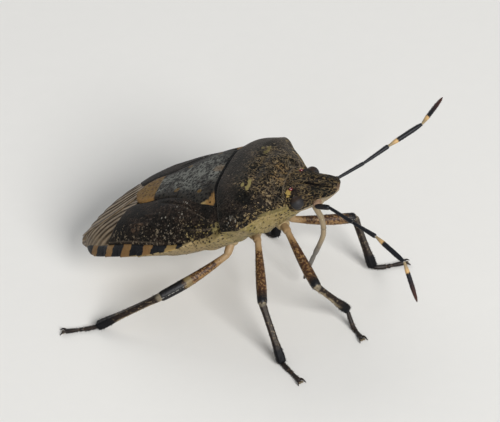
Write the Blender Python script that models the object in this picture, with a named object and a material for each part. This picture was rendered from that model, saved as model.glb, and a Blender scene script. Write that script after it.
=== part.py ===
"""A shield bug, life size, standing on its six feet on a flat floor.

Lengths are in millimetres until a mesh is written, and angles in degrees.
Body axes: +X to the head, +Y to the insect's left, +Z to its back.  Their origin
lies on the midline between the shoulders, at the height of the pronotum's edge.
Floor axes share that origin: the body is pitched nose up against them.
"""

import math

import bmesh
import bpy
import numpy as np

# Scale, stance and gaps
MM = 0.001
NOSE_UP = 20.0
FLOOR = -7.8
STANCE_CENTRE_X = 0.047
STANCE_CENTRE_Y = 0.067
GAP = 0.28
SHARP_ANGLE = 50.0

# Side edge of the body: distance along the body, half width
SHOULDER_REAR = (0.0, 4.64)
FRONT_ANGLE = (3.3, 1.85)
SIDE_EDGE_X = (-12.7, -12.2, -11.4, -10.2, -9.0, -7.7, -5.9, -4.1, -2.4, -0.9, 0.0, 0.95, 2.05, 3.3, 3.6)
SIDE_EDGE_HALF = (0.4, 1.35, 2.4, 3.22, 3.75, 4.17, 4.6, 4.68, 4.55, 4.5, 4.64, 4.66, 3.36, 1.85, 1.6)

# Height of that edge under the plates, of the bare rim behind the shoulders and of the midline of the back
EDGE_X = (-13.2, -10.2, -8.0, -5.9, -4.1, -1.2, 0.0, 1.0, 2.05, 3.3, 3.6)
EDGE_HEIGHT = (-1.0, -0.75, -0.8, -0.85, -0.8, -0.35, 0.14, -0.03, -0.22, -0.62, -0.67)
RIM_X = (-13.2, -11.4, -10.2, -9.0, -5.9, -4.1, -2.4)
RIM_HEIGHT = (-1.3, -0.9, -0.66, -0.5, -0.42, -0.4, -0.35)
CROWN_X = (-13.2, -12.6, -11.6, -10.0, -8.6, -7.57, -6.0, -4.0, -0.75, 0.8, 2.0, 3.0, 3.6)
CROWN_HEIGHT = (-0.99, -0.7, -0.2, 0.45, 0.92, 1.22, 1.45, 1.6, 1.68, 1.5, 0.98, 0.2, -0.2)
BACK_ROUNDING = 2.9

# Plates of the back
PLATE_THICK = 0.62
TAPER_X = (-10.5, -9.0, -1.5, -0.6, 3.6)
TAPER = (0.0, 0.12, 0.12, 0.3, 0.3)
UNDER_X = (-13.2, -10.8, -9.4, 3.6)
UNDER_GAP = (0.12, 0.16, 0.3, 0.3)
FRONT_MARGIN_MID = 2.95
HIND_MARGIN_MID = -0.75
HIND_MARGIN_HALF = 2.75
HIND_MARGIN_SWEEP = 1.6

# Scutellum
SCUTELLUM_X = (-1.03, -2.6, -4.2, -5.6, -6.8, -7.35, -7.6)
SCUTELLUM_HALF = (2.68, 1.98, 1.28, 1.05, 0.88, 0.56, 0.2)
SCUTELLUM_LIFT = 0.12

# Leathery fore part of each fore wing: inner, then outer line from root to rear end
CORIUM_INNER = ((-1.12, 3.05), (-2.6, 2.32), (-4.2, 1.62), (-5.6, 1.37), (-6.8, 1.2), (-7.55, 0.98))
CORIUM_OUTER = ((-0.62, 4.22), (-1.8, 4.22), (-4.0, 4.2), (-6.2, 3.98), (-8.2, 3.52), (-9.75, 2.95))

# Thin hind part of each fore wing: outer line from the corium's rear end round to the tip
MEMBRANE_OUTER = ((-10.03, 2.78), (-10.8, 2.3), (-11.6, 1.78), (-12.4, 1.2), (-12.95, 0.62), (-13.16, 0.0))
MEMBRANE_ROOT = -7.95
MEMBRANE_THICK = 0.5
MEMBRANE_EDGE_THICK = 0.34
MEMBRANE_SINK = 0.08
MEMBRANE_SWING = 0.75
MEMBRANE_ROOT_SHARE = 0.33
MEMBRANE_TIP_SHARE = 0.97
VEINS = 7
VEIN_HALF_SHARE = 0.3
VEIN_HEIGHT = 0.13

# Underside
BELLY_X = (-12.7, -11.4, -10.0, -8.0, -5.5, -3.5, -2.5, 0.0, 1.9, 3.3)
BELLY_HEIGHT = (-1.62, -1.78, -2.0, -2.38, -2.72, -2.85, -2.82, -2.7, -2.58, -2.2)
BELLY_ROUNDING_X = (-12.7, -8.0, -4.0, -2.5, 3.3)
BELLY_ROUNDING = (1.4, 1.45, 1.5, 1.9, 2.0)
THORAX_FRONT = 3.0
THORAX_REAR = -2.45
THORAX_INSET = 0.5
ABDOMEN_REAR = -12.3
RIM_GAP = 0.26
RIM_THICK = 0.24
RIM_LEAST = 0.14
RIM_FADE = 0.12
RIM_SEGMENTS = 7
RIM_NOTCH = 0.07
RIM_GROOVE = 0.04
EDGE_THICK = 0.1

# Head: stations along the body, from the neck to the tip of the clypeus
HEAD_X = (3.2, 3.5, 3.9, 4.3, 4.7, 5.1, 5.45, 5.7, 5.86, 5.94)
HEAD_HALF = (1.3, 1.4, 1.36, 1.24, 1.18, 1.1, 0.98, 0.8, 0.55, 0.3)
HEAD_TOP = (-0.12, -0.22, -0.36, -0.5, -0.68, -0.87, -1.03, -1.16, -1.26, -1.34)
HEAD_SIDE = (-0.95, -1.0, -1.05, -1.1, -1.15, -1.22, -1.3, -1.36, -1.4, -1.42)
HEAD_UNDER = (-2.2, -2.26, -2.28, -2.24, -2.14, -1.98, -1.82, -1.7, -1.6, -1.52)
HEAD_BOW = 0.3
FURROW_SIDE = 0.3
FURROW_WIDTH = 0.11
FURROW_DEPTH = 0.07
OCELLUS = (3.5, 0.72)
OCELLUS_RADIUS = 0.13
OCELLUS_SINK = 0.1
EYE = (3.72, 1.5, -0.95)
EYE_RADII = (0.42, 0.4, 0.44)

# Feelers: five lengths, with their turn to the left and their rise from the floor
FEELER_BASE = (4.56, 1.1, -1.72)
FEELER_LENGTHS = (0.95, 1.9, 1.85, 2.5, 2.6)
FEELER_RIGHT = ((-10.7, 8.9), (-23.0, -11.2), (-23.5, -8.9), (-28.8, -18.0), (-43.1, -67.2))
FEELER_LEFT = ((69.5, -8.9), (48.7, 7.1), (47.0, 14.7), (46.0, 13.6), (78.0, 5.0))
FEELER_SOCKET_OFFSET = (0.25, 0.62, -0.15)
FEELER_SOCKET_RADII = (0.32, 0.3, 0.26)
FEELER_SOCKET_BEND = 0.2
FEELER_SWELL_SHARES = (0.3, 0.72)
FEELER_SWELL_START = 0.15
FEELER_NECK = 0.25
FEELER_SWELL_NEAR = 0.27
FEELER_SWELL_FAR = 0.3
FEELER_TIP = 0.1

# Beak, folded under the head in the midline
BEAK_X = (3.68, 3.68, 3.54, 3.19, 1.45, 0.18)
BEAK_Z = (-2.53, -3.08, -3.76, -4.48, -6.18, -7.43)
BEAK_RADIUS = 0.26
BEAK_TIP_RADIUS = 0.16

# Legs: hip in body axes, then length, turn and rise from the floor of trochanter, femur, tibia and tarsus
LEGS = {
    "front_right": {
        "hip": (1.6, -0.95, -2.45),
        "course": ((1.1, -50.7, 0.1), (4.1, -46.2, -26.3), (3.6, 61.1, -56.9), (1.75, -45.5, 0.0)),
    },
    "front_left": {
        "hip": (1.6, 0.95, -2.45),
        "course": ((1.1, 230.2, -78.6), (4.1, 34.8, -17.3), (3.6, -27.5, -73.6), (2.05, 28.3, 0.0)),
    },
    "middle_right": {
        "hip": (-0.45, -1.15, -2.6),
        "course": ((1.1, -57.5, 3.8), (4.2, -70.2, -26.8), (3.8, -48.6, -57.3), (2.1, -40.0, 0.0)),
    },
    "middle_left": {
        "hip": (-0.45, 1.15, -2.6),
        "course": ((1.1, 94.6, -50.9), (4.2, 98.1, -9.0), (3.8, 242.6, -65.1), (2.1, 150.0, 0.0)),
    },
    "hind_right": {
        "hip": (-2.05, -1.2, -2.65),
        "course": ((1.1, 254.7, -44.6), (4.9, 223.9, -14.0), (5.0, 188.6, -28.8), (2.1, 200.0, 0.0)),
    },
    "hind_left": {
        "hip": (-2.05, 1.2, -2.65),
        "course": ((1.1, 120.0, -49.7), (4.9, 134.0, -15.8), (5.0, 172.0, -25.9), (2.1, 165.0, 0.0)),
    },
}
COXA_DEPTH = 0.55
COXA_REACH = 0.3
COXA_RADII = (0.5, 0.48, 0.46)
COXA_SIDES = 10
TROCHANTER_RADIUS = 0.3
TROCHANTER_TRIM = 0.12
ELBOW_REACH = 0.35
FEMUR_RADII = (0.29, 0.32, 0.36, 0.37, 0.35, 0.31)
FEMUR_BOW = 0.035
TIBIA_RADII = (0.27, 0.26, 0.25, 0.26, 0.29)
TIBIA_CLEARANCE = 0.04
TARSUS_RADIUS = 0.26
TARSUS_HEIGHT = 0.22
TARSUS_SHARES = (0.0, 0.18, 0.34, 0.4, 0.56, 0.62, 0.8, 1.0)
TARSUS_SWELL = (1.0, 1.0, 1.0, 0.94, 1.0, 0.94, 1.0, 0.94)
TARSUS_DOWN_SHARE = 0.5
TARSUS_DOWN_POWER = 1.5
CLAW_LENGTH = 0.42
CLAW_SPREAD = 26.0
CLAW_RADII = (0.13, 0.1, 0.035)
CLAW_SIDES = 6
CLAW_SIDE_OFFSET = 0.09
CLAW_ROOT_OFFSET = 0.15
CLAW_BEND_SHARE = 0.6
CLAW_ARCH = 0.03
CLAW_DROP = 0.1

# Facets
LIMB_SIDES = 8
ACROSS_PRONOTUM = 24
ALONG_PRONOTUM = 12
ACROSS_SCUTELLUM = 12
ALONG_SCUTELLUM = 12
ACROSS_CORIUM = 7
ALONG_CORIUM = 14
ALONG_MEMBRANE = 7
BODY_RING = 13
BODY_RINGS_THORAX = 12
BODY_RINGS_ABDOMEN = 22
HEAD_RING = 30
OCELLUS_FACETS = (8, 5)
EYE_FACETS = (16, 9)
EYE_SEAT_FACETS = (14, 9)
BEAK_RINGS = 13

# Finishes: colour, roughness
FINISHES = {
    "dark_shell": ((0.075, 0.055, 0.038), 0.5),
    "shield": ((0.095, 0.085, 0.075), 0.5),
    "membrane": ((0.16, 0.12, 0.085), 0.4),
    "belly": ((0.52, 0.45, 0.27), 0.55),
    "head": ((0.12, 0.085, 0.05), 0.5),
    "eye": ((0.05, 0.045, 0.05), 0.2),
    "feeler": ((0.03, 0.025, 0.022), 0.35),
    "beak": ((0.5, 0.43, 0.33), 0.45),
    "femur": ((0.32, 0.17, 0.07), 0.5),
    "tibia": ((0.13, 0.09, 0.06), 0.5),
    "tarsus": ((0.04, 0.03, 0.025), 0.5),
}


# Curves and surfaces of the body

def through(x, stations, values):
    """Smooth curve through the stations: cubic pieces with slopes that never overshoot."""
    order = np.argsort(stations)
    xs = np.asarray(stations, float)[order]
    ys = np.asarray(values, float)[order]
    steps = np.diff(xs)
    rates = np.diff(ys) / steps
    both = rates[1:] * rates[:-1]
    safe = np.where(both > 0, rates[1:] + rates[:-1], 1.0)
    inner = np.where(both > 0, 2 * both / safe, 0.0)
    slopes = np.concatenate([rates[:1], inner, rates[-1:]])
    x = np.clip(np.asarray(x, float), xs[0], xs[-1])
    i = np.clip(np.searchsorted(xs, x, side="right") - 1, 0, len(xs) - 2)
    h = steps[i]
    t = (x - xs[i]) / h
    return (
        ys[i] * (1 + 2 * t) * (1 - t) ** 2
        + ys[i + 1] * t * t * (3 - 2 * t)
        + h * slopes[i] * t * (1 - t) ** 2
        + h * slopes[i + 1] * t * t * (t - 1)
    )


def half_width(x):
    return through(x, SIDE_EDGE_X, SIDE_EDGE_HALF)


def edge_height(x):
    return through(x, EDGE_X, EDGE_HEIGHT)


def plate_thickness(x, y):
    """The plates grow thinner towards the side edge, as the fourth power of the width."""
    across = np.clip(np.abs(y) / half_width(x), 0.0, 1.0)
    return PLATE_THICK - through(x, TAPER_X, TAPER) * across**4


def under_height(x, y):
    """Top of the trunk below the plates."""
    return back_height(x, y) - plate_thickness(x, y) - through(x, UNDER_X, UNDER_GAP)


def rim_height(x):
    return through(x, RIM_X, RIM_HEIGHT)


def back_height(x, y):
    """Dome of the back: the midline height falls to the edge height as the 2.9th power of the width."""
    edge = edge_height(x)
    crown = through(x, CROWN_X, CROWN_HEIGHT)
    across = np.clip(np.abs(y) / half_width(x), 0.0, 1.0)
    return edge + (crown - edge) * (1 - across**BACK_ROUNDING)


def belly_height(x, y, half, edge):
    """Trough of the underside: from the keel up to the edge's height, as a power of the width."""
    keel = through(x, BELLY_X, BELLY_HEIGHT)
    across = np.clip(np.abs(y) / half, 0.0, 1.0)
    return keel + (edge - keel) * across ** through(x, BELLY_ROUNDING_X, BELLY_ROUNDING)


def on_line(line, r):
    """Point at share r of a smooth line through the given plan points."""
    points = np.asarray(line, float)
    stations = np.linspace(0.0, 1.0, len(points))
    return np.stack([through(r, stations, points[:, 0]), through(r, stations, points[:, 1])], axis=-1)


# Meshes

def add_object(name, vertices, faces, finish, parent):
    mesh = bpy.data.meshes.new(name)
    mesh.from_pydata((np.asarray(vertices, float) * MM).tolist(), [], faces)
    shape = bmesh.new()
    shape.from_mesh(mesh)
    bmesh.ops.recalc_face_normals(shape, faces=shape.faces)
    if shape.calc_volume(signed=True) < 0:
        bmesh.ops.reverse_faces(shape, faces=shape.faces)
    shape.to_mesh(mesh)
    shape.free()
    thing = bpy.data.objects.new(name, mesh)
    bpy.context.scene.collection.objects.link(thing)
    thing.parent = parent
    if finish:
        mesh.materials.append(finish_of(finish))
    smooth(mesh)
    return thing


def smooth(mesh):
    mesh.shade_smooth()
    mesh.set_sharp_from_angle(angle=math.radians(SHARP_ANGLE))


def finish_of(name):
    found = bpy.data.materials.get(name)
    if found:
        return found
    colour, roughness = FINISHES[name]
    material = bpy.data.materials.new(name)
    material.use_nodes = True
    shader = material.node_tree.nodes["Principled BSDF"]
    shader.inputs["Base Color"].default_value = (*colour, 1.0)
    shader.inputs["Roughness"].default_value = roughness
    shader.inputs["Metallic"].default_value = 0.0
    return material


def loft(rings):
    """Closed skin over rings of equal length, with a flat cap at each end."""
    rings = np.asarray(rings, float)
    count, sides = rings.shape[:2]
    faces = []
    for i in range(count - 1):
        for j in range(sides):
            a = i * sides + j
            b = i * sides + (j + 1) % sides
            faces.append((a, b, b + sides, a + sides))
    faces.append(tuple(range(sides)))
    faces.append(tuple(range((count - 1) * sides, count * sides)))
    return rings.reshape(-1, 3), faces


def slab(top, thickness):
    """Closed plate: a grid of points, the same grid lowered, and a wall round the edge."""
    rows, columns = top.shape[:2]
    lower = top - np.stack([np.zeros_like(thickness), np.zeros_like(thickness), thickness], axis=-1)
    size = rows * columns
    faces = []
    for i in range(rows - 1):
        for j in range(columns - 1):
            a = i * columns + j
            b = a + 1
            c = a + columns + 1
            d = a + columns
            faces.append((a, b, c))
            faces.append((a, c, d))
            faces.append((size + a, size + c, size + b))
            faces.append((size + a, size + d, size + c))
    rim = list(range(columns))
    rim += [i * columns + columns - 1 for i in range(1, rows)]
    rim += [(rows - 1) * columns + j for j in range(columns - 2, -1, -1)]
    rim += [i * columns for i in range(rows - 2, 0, -1)]
    for a, b in zip(rim, rim[1:] + rim[:1]):
        faces.append((a, size + a, size + b))
        faces.append((a, size + b, b))
    return np.concatenate([top.reshape(-1, 3), lower.reshape(-1, 3)]), faces


def combine(base, others, operation):
    """Joins closed objects to the first one, or cuts them from it, and keeps the largest body."""
    group = bpy.data.collections.new("tools_of_" + base.name)
    for other in others:
        group.objects.link(other)
    modifier = base.modifiers.new("combine", "BOOLEAN")
    modifier.operation = operation
    modifier.operand_type = "COLLECTION"
    modifier.collection = group
    modifier.solver = "EXACT"
    bpy.context.view_layer.update()
    graph = bpy.context.evaluated_depsgraph_get()
    joined = bpy.data.meshes.new_from_object(base.evaluated_get(graph))
    base.modifiers.remove(modifier)
    for other in others:
        bpy.data.objects.remove(other)
    bpy.data.collections.remove(group)
    keep_largest(joined)
    base.data = joined
    smooth(joined)


def keep_largest(mesh):
    shape = bmesh.new()
    shape.from_mesh(mesh)
    bmesh.ops.triangulate(shape, faces=shape.faces)
    left = set(shape.faces)
    islands = []
    while left:
        start = left.pop()
        island = [start]
        front = [start]
        while front:
            face = front.pop()
            for edge in face.edges:
                for near in edge.link_faces:
                    if near in left:
                        left.remove(near)
                        island.append(near)
                        front.append(near)
        islands.append(island)
    islands.sort(key=lambda island: -sum(face.calc_area() for face in island))
    for island in islands[1:]:
        bmesh.ops.delete(shape, geom=island, context="FACES")
    loose = [vertex for vertex in shape.verts if not vertex.link_faces]
    bmesh.ops.delete(shape, geom=loose, context="VERTS")
    shape.to_mesh(mesh)
    shape.free()


# Plates of the back

def pronotum(parent):
    """Shield behind the head: its lines run from the hollowed front edge to the hind edge, on the dome."""
    s = np.linspace(-1.0, 1.0, ACROSS_PRONOTUM + 1)
    side = np.abs(s)
    front_x = FRONT_MARGIN_MID + (FRONT_ANGLE[0] - FRONT_MARGIN_MID) * side**2
    wide = SHOULDER_REAR[1]
    slant = np.clip((side * wide - HIND_MARGIN_HALF) / (wide - HIND_MARGIN_HALF), 0.0, 1.0)
    hind_x = HIND_MARGIN_MID + (SHOULDER_REAR[0] - HIND_MARGIN_MID) * slant**HIND_MARGIN_SWEEP
    r = np.linspace(0.0, 1.0, ALONG_PRONOTUM + 1)[:, None]
    x = front_x * (1 - r) + hind_x * r
    y = s * half_width(FRONT_ANGLE[0] * (1 - r) + SHOULDER_REAR[0] * r)
    top = np.stack([x, y, back_height(x, y)], axis=-1)
    vertices, faces = slab(top, plate_thickness(x, y))
    return add_object("pronotum", vertices, faces, "dark_shell", parent)


def scutellum(parent):
    """Long triangle behind the pronotum with a rounded tip, raised a little on the dome."""
    x = np.linspace(SCUTELLUM_X[0], SCUTELLUM_X[-1], ALONG_SCUTELLUM + 1)[:, None]
    s = np.linspace(-1.0, 1.0, ACROSS_SCUTELLUM + 1)
    y = through(x, SCUTELLUM_X, SCUTELLUM_HALF) * s
    x = x + np.zeros_like(y)
    lift = SCUTELLUM_LIFT * (1 - s**4) + np.zeros_like(y)
    top = np.stack([x, y, back_height(x, y) + lift], axis=-1)
    vertices, faces = slab(top, plate_thickness(x, y) + lift)
    return add_object("scutellum", vertices, faces, "shield", parent)


def corium(side, name, parent):
    """Leathery wing part between the scutellum and the costal edge: lines from inner to outer edge."""
    r = np.linspace(0.0, 1.0, ALONG_CORIUM + 1)
    s = np.linspace(0.0, 1.0, ACROSS_CORIUM + 1)[None, :, None]
    plan = on_line(CORIUM_INNER, r)[:, None] * (1 - s) + on_line(CORIUM_OUTER, r)[:, None] * s
    x = plan[..., 0]
    y = plan[..., 1]
    top = np.stack([x, y * side, back_height(x, y)], axis=-1)
    vertices, faces = slab(top, plate_thickness(x, y))
    return add_object(name, vertices, faces, "dark_shell", parent)


def seam(x):
    """Inner edge of the overlapping membrane: it swings over to the right and back at the tip."""
    share = np.clip((MEMBRANE_ROOT - x) / (MEMBRANE_ROOT - MEMBRANE_OUTER[-1][0]), 0.0, 1.0)
    return -MEMBRANE_SWING * np.sin(math.pi * share)


def wing_edge(x):
    """Half width of the folded wings at x: the corium's outer edge, then the membranes' edge."""
    outer = np.asarray(CORIUM_OUTER)[::-1]
    line = np.concatenate([np.asarray(MEMBRANE_OUTER)[::-1], outer])
    return np.interp(x, line[:, 0], line[:, 1])


def membrane(side, name, parent):
    """Thin wing part: rays from the scutellum's tip out to the edge, with a ridge on each vein."""
    r = np.linspace(0.0, 1.0, ALONG_MEMBRANE + 1)[:, None]
    across = []
    for vein in range(VEINS):
        middle = (vein + 0.5) / VEINS
        across += [middle - VEIN_HALF_SHARE / VEINS, middle, middle + VEIN_HALF_SHARE / VEINS]
    across = np.array([0.0] + across + [1.0])
    ridge = np.zeros(len(across))
    ridge[2:-1:3] = VEIN_HEIGHT
    root_out = np.array([CORIUM_INNER[-1][0] - GAP, CORIUM_INNER[-1][1]])
    rear_out = np.array(MEMBRANE_OUTER[0])
    root_x = MEMBRANE_ROOT + (root_out[0] - MEMBRANE_ROOT) * np.clip(across * 3, 0, 1)
    far = np.clip((across - MEMBRANE_ROOT_SHARE) / (1 - MEMBRANE_ROOT_SHARE), 0, 1)
    near_x = root_x + (rear_out[0] - root_out[0]) * far
    near_y = np.clip(across * 3, 0, 1) * root_out[1] + (rear_out[1] - root_out[1]) * far
    edge = on_line(MEMBRANE_OUTER, 1 - across * MEMBRANE_TIP_SHARE)
    x = near_x * (1 - r) + edge[:, 0] * r
    y = near_y * (1 - r) + edge[:, 1] * r
    inner = side * seam(x) + 0.5 * GAP
    y = inner + y * (1 - inner / CORIUM_OUTER[-1][1])
    plain = back_height(x, np.abs(y)) - MEMBRANE_SINK
    z = plain + ridge * np.sin(math.pi * (r * 0.9 + 0.05)) ** 0.5
    top = np.stack([x, y * side, z], axis=-1)
    thickness = MEMBRANE_THICK + (MEMBRANE_EDGE_THICK - MEMBRANE_THICK) * r**2 + z - plain
    vertices, faces = slab(top, thickness)
    return add_object(name, vertices, faces, "membrane", parent)


# Underside

def body_ring(x, half, rim):
    """Section of the trunk: along the underside of the plates, then back along the belly.

    Where rim is above 0, it is the width of the bare rim outside the wing, which stands up beside it.
    Towards the tail it grows narrow and sinks below the wing.
    """
    s = np.linspace(-1.0, 1.0, BODY_RING)
    y = half * s
    top = np.stack([np.full(BODY_RING, x), y, under_height(x, y)], axis=-1)
    edge = top[0, 2] - EDGE_THICK
    if rim is not None:
        covered = min(1.0, max(0.0, (RIM_LEAST - rim) / RIM_FADE))
        inner = half - max(rim, RIM_LEAST - RIM_FADE)
        foot = inner - RIM_GROOVE
        y = np.concatenate([[-half, -inner], np.linspace(-foot, foot, BODY_RING - 4), [inner, half]])
        z = under_height(x, y)
        height = rim_height(x) * (1 - covered) + min(rim_height(x), z[0]) * covered
        edge = height - RIM_THICK
        z[[0, 1, -2, -1]] = height
        top = np.stack([np.full(BODY_RING, x), y, z], axis=-1)
    low_y = half * s[::-1][1:-1]
    low = np.stack([np.full(BODY_RING - 2, x), low_y, belly_height(x, low_y, half, edge)], axis=-1)
    return np.concatenate([top, low])


def thorax(parent):
    """Front part of the trunk with the stub of each hip joined to it."""
    rings = []
    for x in np.linspace(THORAX_FRONT, THORAX_REAR, BODY_RINGS_THORAX + 1):
        rings.append(body_ring(x, float(half_width(x)) - THORAX_INSET, None))
    vertices, faces = loft(rings)
    trunk = add_object("thorax", vertices, faces, "belly", parent)
    stubs = []
    for leg, plan in LEGS.items():
        ahead = body_direction(*plan["course"][0][1:])
        centre = np.array(plan["hip"])
        path = [centre - COXA_DEPTH * ahead, centre, centre + COXA_REACH * ahead]
        vertices, faces = loft(tube(path, COXA_RADII, COXA_SIDES))
        stubs.append(add_object("stub_" + leg, vertices, faces, None, parent))
    combine(trunk, stubs, "UNION")
    return trunk


def abdomen(parent):
    """Rear part of the trunk: its notched rim stands outside the wings."""
    rings = []
    stations = np.linspace(THORAX_REAR - GAP, ABDOMEN_REAR, BODY_RINGS_ABDOMEN + 1)
    for i, x in enumerate(stations):
        share = (i / BODY_RINGS_ABDOMEN * RIM_SEGMENTS) % 1.0
        half = float(half_width(x)) - RIM_NOTCH * (1 - share)
        rim = half - float(wing_edge(x)) - RIM_GAP
        rings.append(body_ring(x, half, rim))
    vertices, faces = loft(rings)
    return add_object("abdomen", vertices, faces, "belly", parent)


# Head, eyes, feelers and beak

def head(parent):
    """Flattened cone with two furrows beside the clypeus; the eyes' seats are cut out of it."""
    rings = []
    angle = np.linspace(0.0, 2 * math.pi, HEAD_RING, endpoint=False)
    for x in HEAD_X:
        half, top, side, under = (
            float(through(x, HEAD_X, row)) for row in (HEAD_HALF, HEAD_TOP, HEAD_SIDE, HEAD_UNDER)
        )
        forward = (x - HEAD_X[0]) / (HEAD_X[-1] - HEAD_X[0])
        up = np.sin(angle)
        square = 2.0 - 1.0 * min(1.0, forward * 1.6)
        lower = np.sign(np.cos(angle)) * np.clip(1 - np.abs(up) ** square, 0, 1) ** (1 / square)
        y = half * np.where(up >= 0, np.cos(angle), lower)
        z = side + np.where(up >= 0, (top - side) * up, (side - under) * up)
        furrow = FURROW_DEPTH * np.exp(-(((np.abs(y) - FURROW_SIDE) / FURROW_WIDTH) ** 2))
        z = z - np.where(up > 0, furrow, 0.0) * math.sin(math.pi * min(1.0, 0.15 + forward))
        bow = HEAD_BOW * (1 - forward) ** 2 * (y / FRONT_ANGLE[1]) ** 2
        rings.append(np.stack([x + bow, y, z], axis=-1))
    vertices, faces = loft(rings)
    skull = add_object("head", vertices, faces, "head", parent)
    lumps = []
    for side, course in ((-1, FEELER_RIGHT), (1, FEELER_LEFT)):
        height = float(through(OCELLUS[0], HEAD_X, HEAD_TOP)) - OCELLUS_SINK
        vertices, faces = ball((OCELLUS[0], side * OCELLUS[1], height), [OCELLUS_RADIUS] * 3, *OCELLUS_FACETS)
        lumps.append(add_object("ocellus", vertices, faces, None, parent))
        base = np.array([FEELER_BASE[0], side * FEELER_BASE[1], FEELER_BASE[2]])
        ahead = body_direction(*course[0])
        back, inward, down = FEELER_SOCKET_OFFSET
        root = base - np.array([back, side * inward, down])
        path = [root, base - FEELER_SOCKET_BEND * ahead, base]
        vertices, faces = loft(tube(path, FEELER_SOCKET_RADII, LIMB_SIDES))
        lumps.append(add_object("socket", vertices, faces, None, parent))
    combine(skull, lumps, "UNION")
    seats = []
    for side in (-1, 1):
        radii = [radius + GAP for radius in EYE_RADII]
        vertices, faces = ball((EYE[0], side * EYE[1], EYE[2]), radii, *EYE_SEAT_FACETS)
        seats.append(add_object("seat", vertices, faces, None, parent))
    combine(skull, seats, "DIFFERENCE")
    return skull


def ball(centre, radii, around, rows):
    """Closed ellipsoid of rings between two poles."""
    tilt = np.linspace(0.5 * math.pi, -0.5 * math.pi, rows + 2)[1:-1]
    turn = np.linspace(0.0, 2 * math.pi, around, endpoint=False)
    rings = np.stack(
        [
            np.cos(tilt)[:, None] * np.cos(turn),
            np.cos(tilt)[:, None] * np.sin(turn),
            np.sin(tilt)[:, None] + 0 * turn,
        ],
        axis=-1,
    )
    vertices, faces = loft(rings)
    faces = faces[:-2]
    top = len(vertices)
    last = (rows - 1) * around
    vertices = np.concatenate([vertices, [(0, 0, 1), (0, 0, -1)]])
    for j in range(around):
        nxt = (j + 1) % around
        faces.append((top, nxt, j))
        faces.append((top + 1, last + j, last + nxt))
    return vertices * np.array(radii) + np.array(centre), faces


def eye(side, name, parent):
    vertices, faces = ball((EYE[0], side * EYE[1], EYE[2]), EYE_RADII, *EYE_FACETS)
    return add_object(name, vertices, faces, "eye", parent)


def floor_direction(turn, rise):
    """Unit vector in floor axes."""
    turn = math.radians(turn)
    rise = math.radians(rise)
    return np.array([math.cos(turn) * math.cos(rise), math.sin(turn) * math.cos(rise), math.sin(rise)])


def to_floor(point):
    """Body axes to floor axes: the body is pitched nose up."""
    c = math.cos(math.radians(NOSE_UP))
    s = math.sin(math.radians(NOSE_UP))
    x, y, z = point
    return np.array([x * c - z * s, y, x * s + z * c])


def body_direction(turn, rise):
    c = math.cos(math.radians(NOSE_UP))
    s = math.sin(math.radians(NOSE_UP))
    x, y, z = floor_direction(turn, rise)
    return np.array([x * c + z * s, y, z * c - x * s])


def tube(path, radii, sides, start=None, end=None, turned=0.0):
    """Round rings along a path, each square to its bend; the two ends may lie on a given plane's slope.

    start and end are the normals of the end faces, so that two lengths meet face to face.
    turned is the share of a facet by which the rings are turned.
    """
    path = np.asarray(path, float)
    radii = np.asarray(radii, float)
    steps = np.diff(path, axis=0)
    steps /= np.linalg.norm(steps, axis=1)[:, None]
    along = np.concatenate([steps[:1], steps[1:] + steps[:-1], steps[-1:]])
    along /= np.linalg.norm(along, axis=1)[:, None]
    guide = np.array([0.0, 0.0, 1.0])
    if abs(along[0][2]) > 0.95:
        guide = np.array([0.0, 1.0, 0.0])
    first = np.cross(guide, along[0])
    first /= np.linalg.norm(first)
    angle = (np.arange(sides) + turned) * 2 * math.pi / sides
    rings = []
    for i, (point, axis, radius) in enumerate(zip(path, along, radii)):
        first = first - axis * np.dot(first, axis)
        first /= np.linalg.norm(first)
        second = np.cross(axis, first)
        ring = point + radius * (np.cos(angle)[:, None] * first + np.sin(angle)[:, None] * second)
        normal = start if i == 0 else end if i == len(path) - 1 else None
        if normal is not None:
            slide = (ring - point) @ normal / np.dot(axis, normal)
            ring = ring - slide[:, None] * axis
        rings.append(ring)
    return np.array(rings)


def joint_faces(course, start):
    """Corner points of a jointed limb and, at each, the normal of the plane between its neighbours."""
    corners = [np.asarray(start, float)]
    ways = [floor_direction(turn, rise) for _, turn, rise in course]
    for (length, _, _), way in zip(course, ways):
        corners.append(corners[-1] + length * way)
    planes = [ways[0]]
    for before, after in zip(ways, ways[1:]):
        middle = before + after
        planes.append(middle / np.linalg.norm(middle))
    planes.append(ways[-1])
    return np.array(corners), ways, planes


def feeler(side, course, name, parent):
    """Five lengths in one piece, each swelling past a narrow neck, the last one pointed."""
    base = to_floor((FEELER_BASE[0], side * FEELER_BASE[1], FEELER_BASE[2]))
    lengths = [(length, *way) for length, way in zip(FEELER_LENGTHS, course)]
    corners, ways, _ = joint_faces(lengths, base)
    path = [corners[0] + GAP * ways[0]]
    radii = [FEELER_NECK]
    for i, length in enumerate(FEELER_LENGTHS):
        for share in FEELER_SWELL_SHARES:
            path.append(corners[i] + max(share * length, GAP + FEELER_SWELL_START) * ways[i])
            radii.append(FEELER_SWELL_NEAR if i < 2 else FEELER_SWELL_FAR)
        path.append(corners[i + 1])
        radii.append(FEELER_NECK)
    radii[-1] = FEELER_TIP
    vertices, faces = loft(tube(path, radii, LIMB_SIDES))
    return add_object(name, vertices, faces, "feeler", parent)


def beak(parent):
    """Four-jointed beak in the midline, from under the head down and back between the legs."""
    share = np.linspace(0.0, 1.0, BEAK_RINGS)
    stations = np.linspace(0.0, 1.0, len(BEAK_X))
    path = np.stack([through(share, stations, BEAK_X), 0 * share, through(share, stations, BEAK_Z)], axis=-1)
    radii = BEAK_RADIUS + (BEAK_TIP_RADIUS - BEAK_RADIUS) * share**3
    vertices, faces = loft(tube(path, radii, LIMB_SIDES))
    return add_object("beak", vertices, faces, "beak", parent)


# Legs

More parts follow.
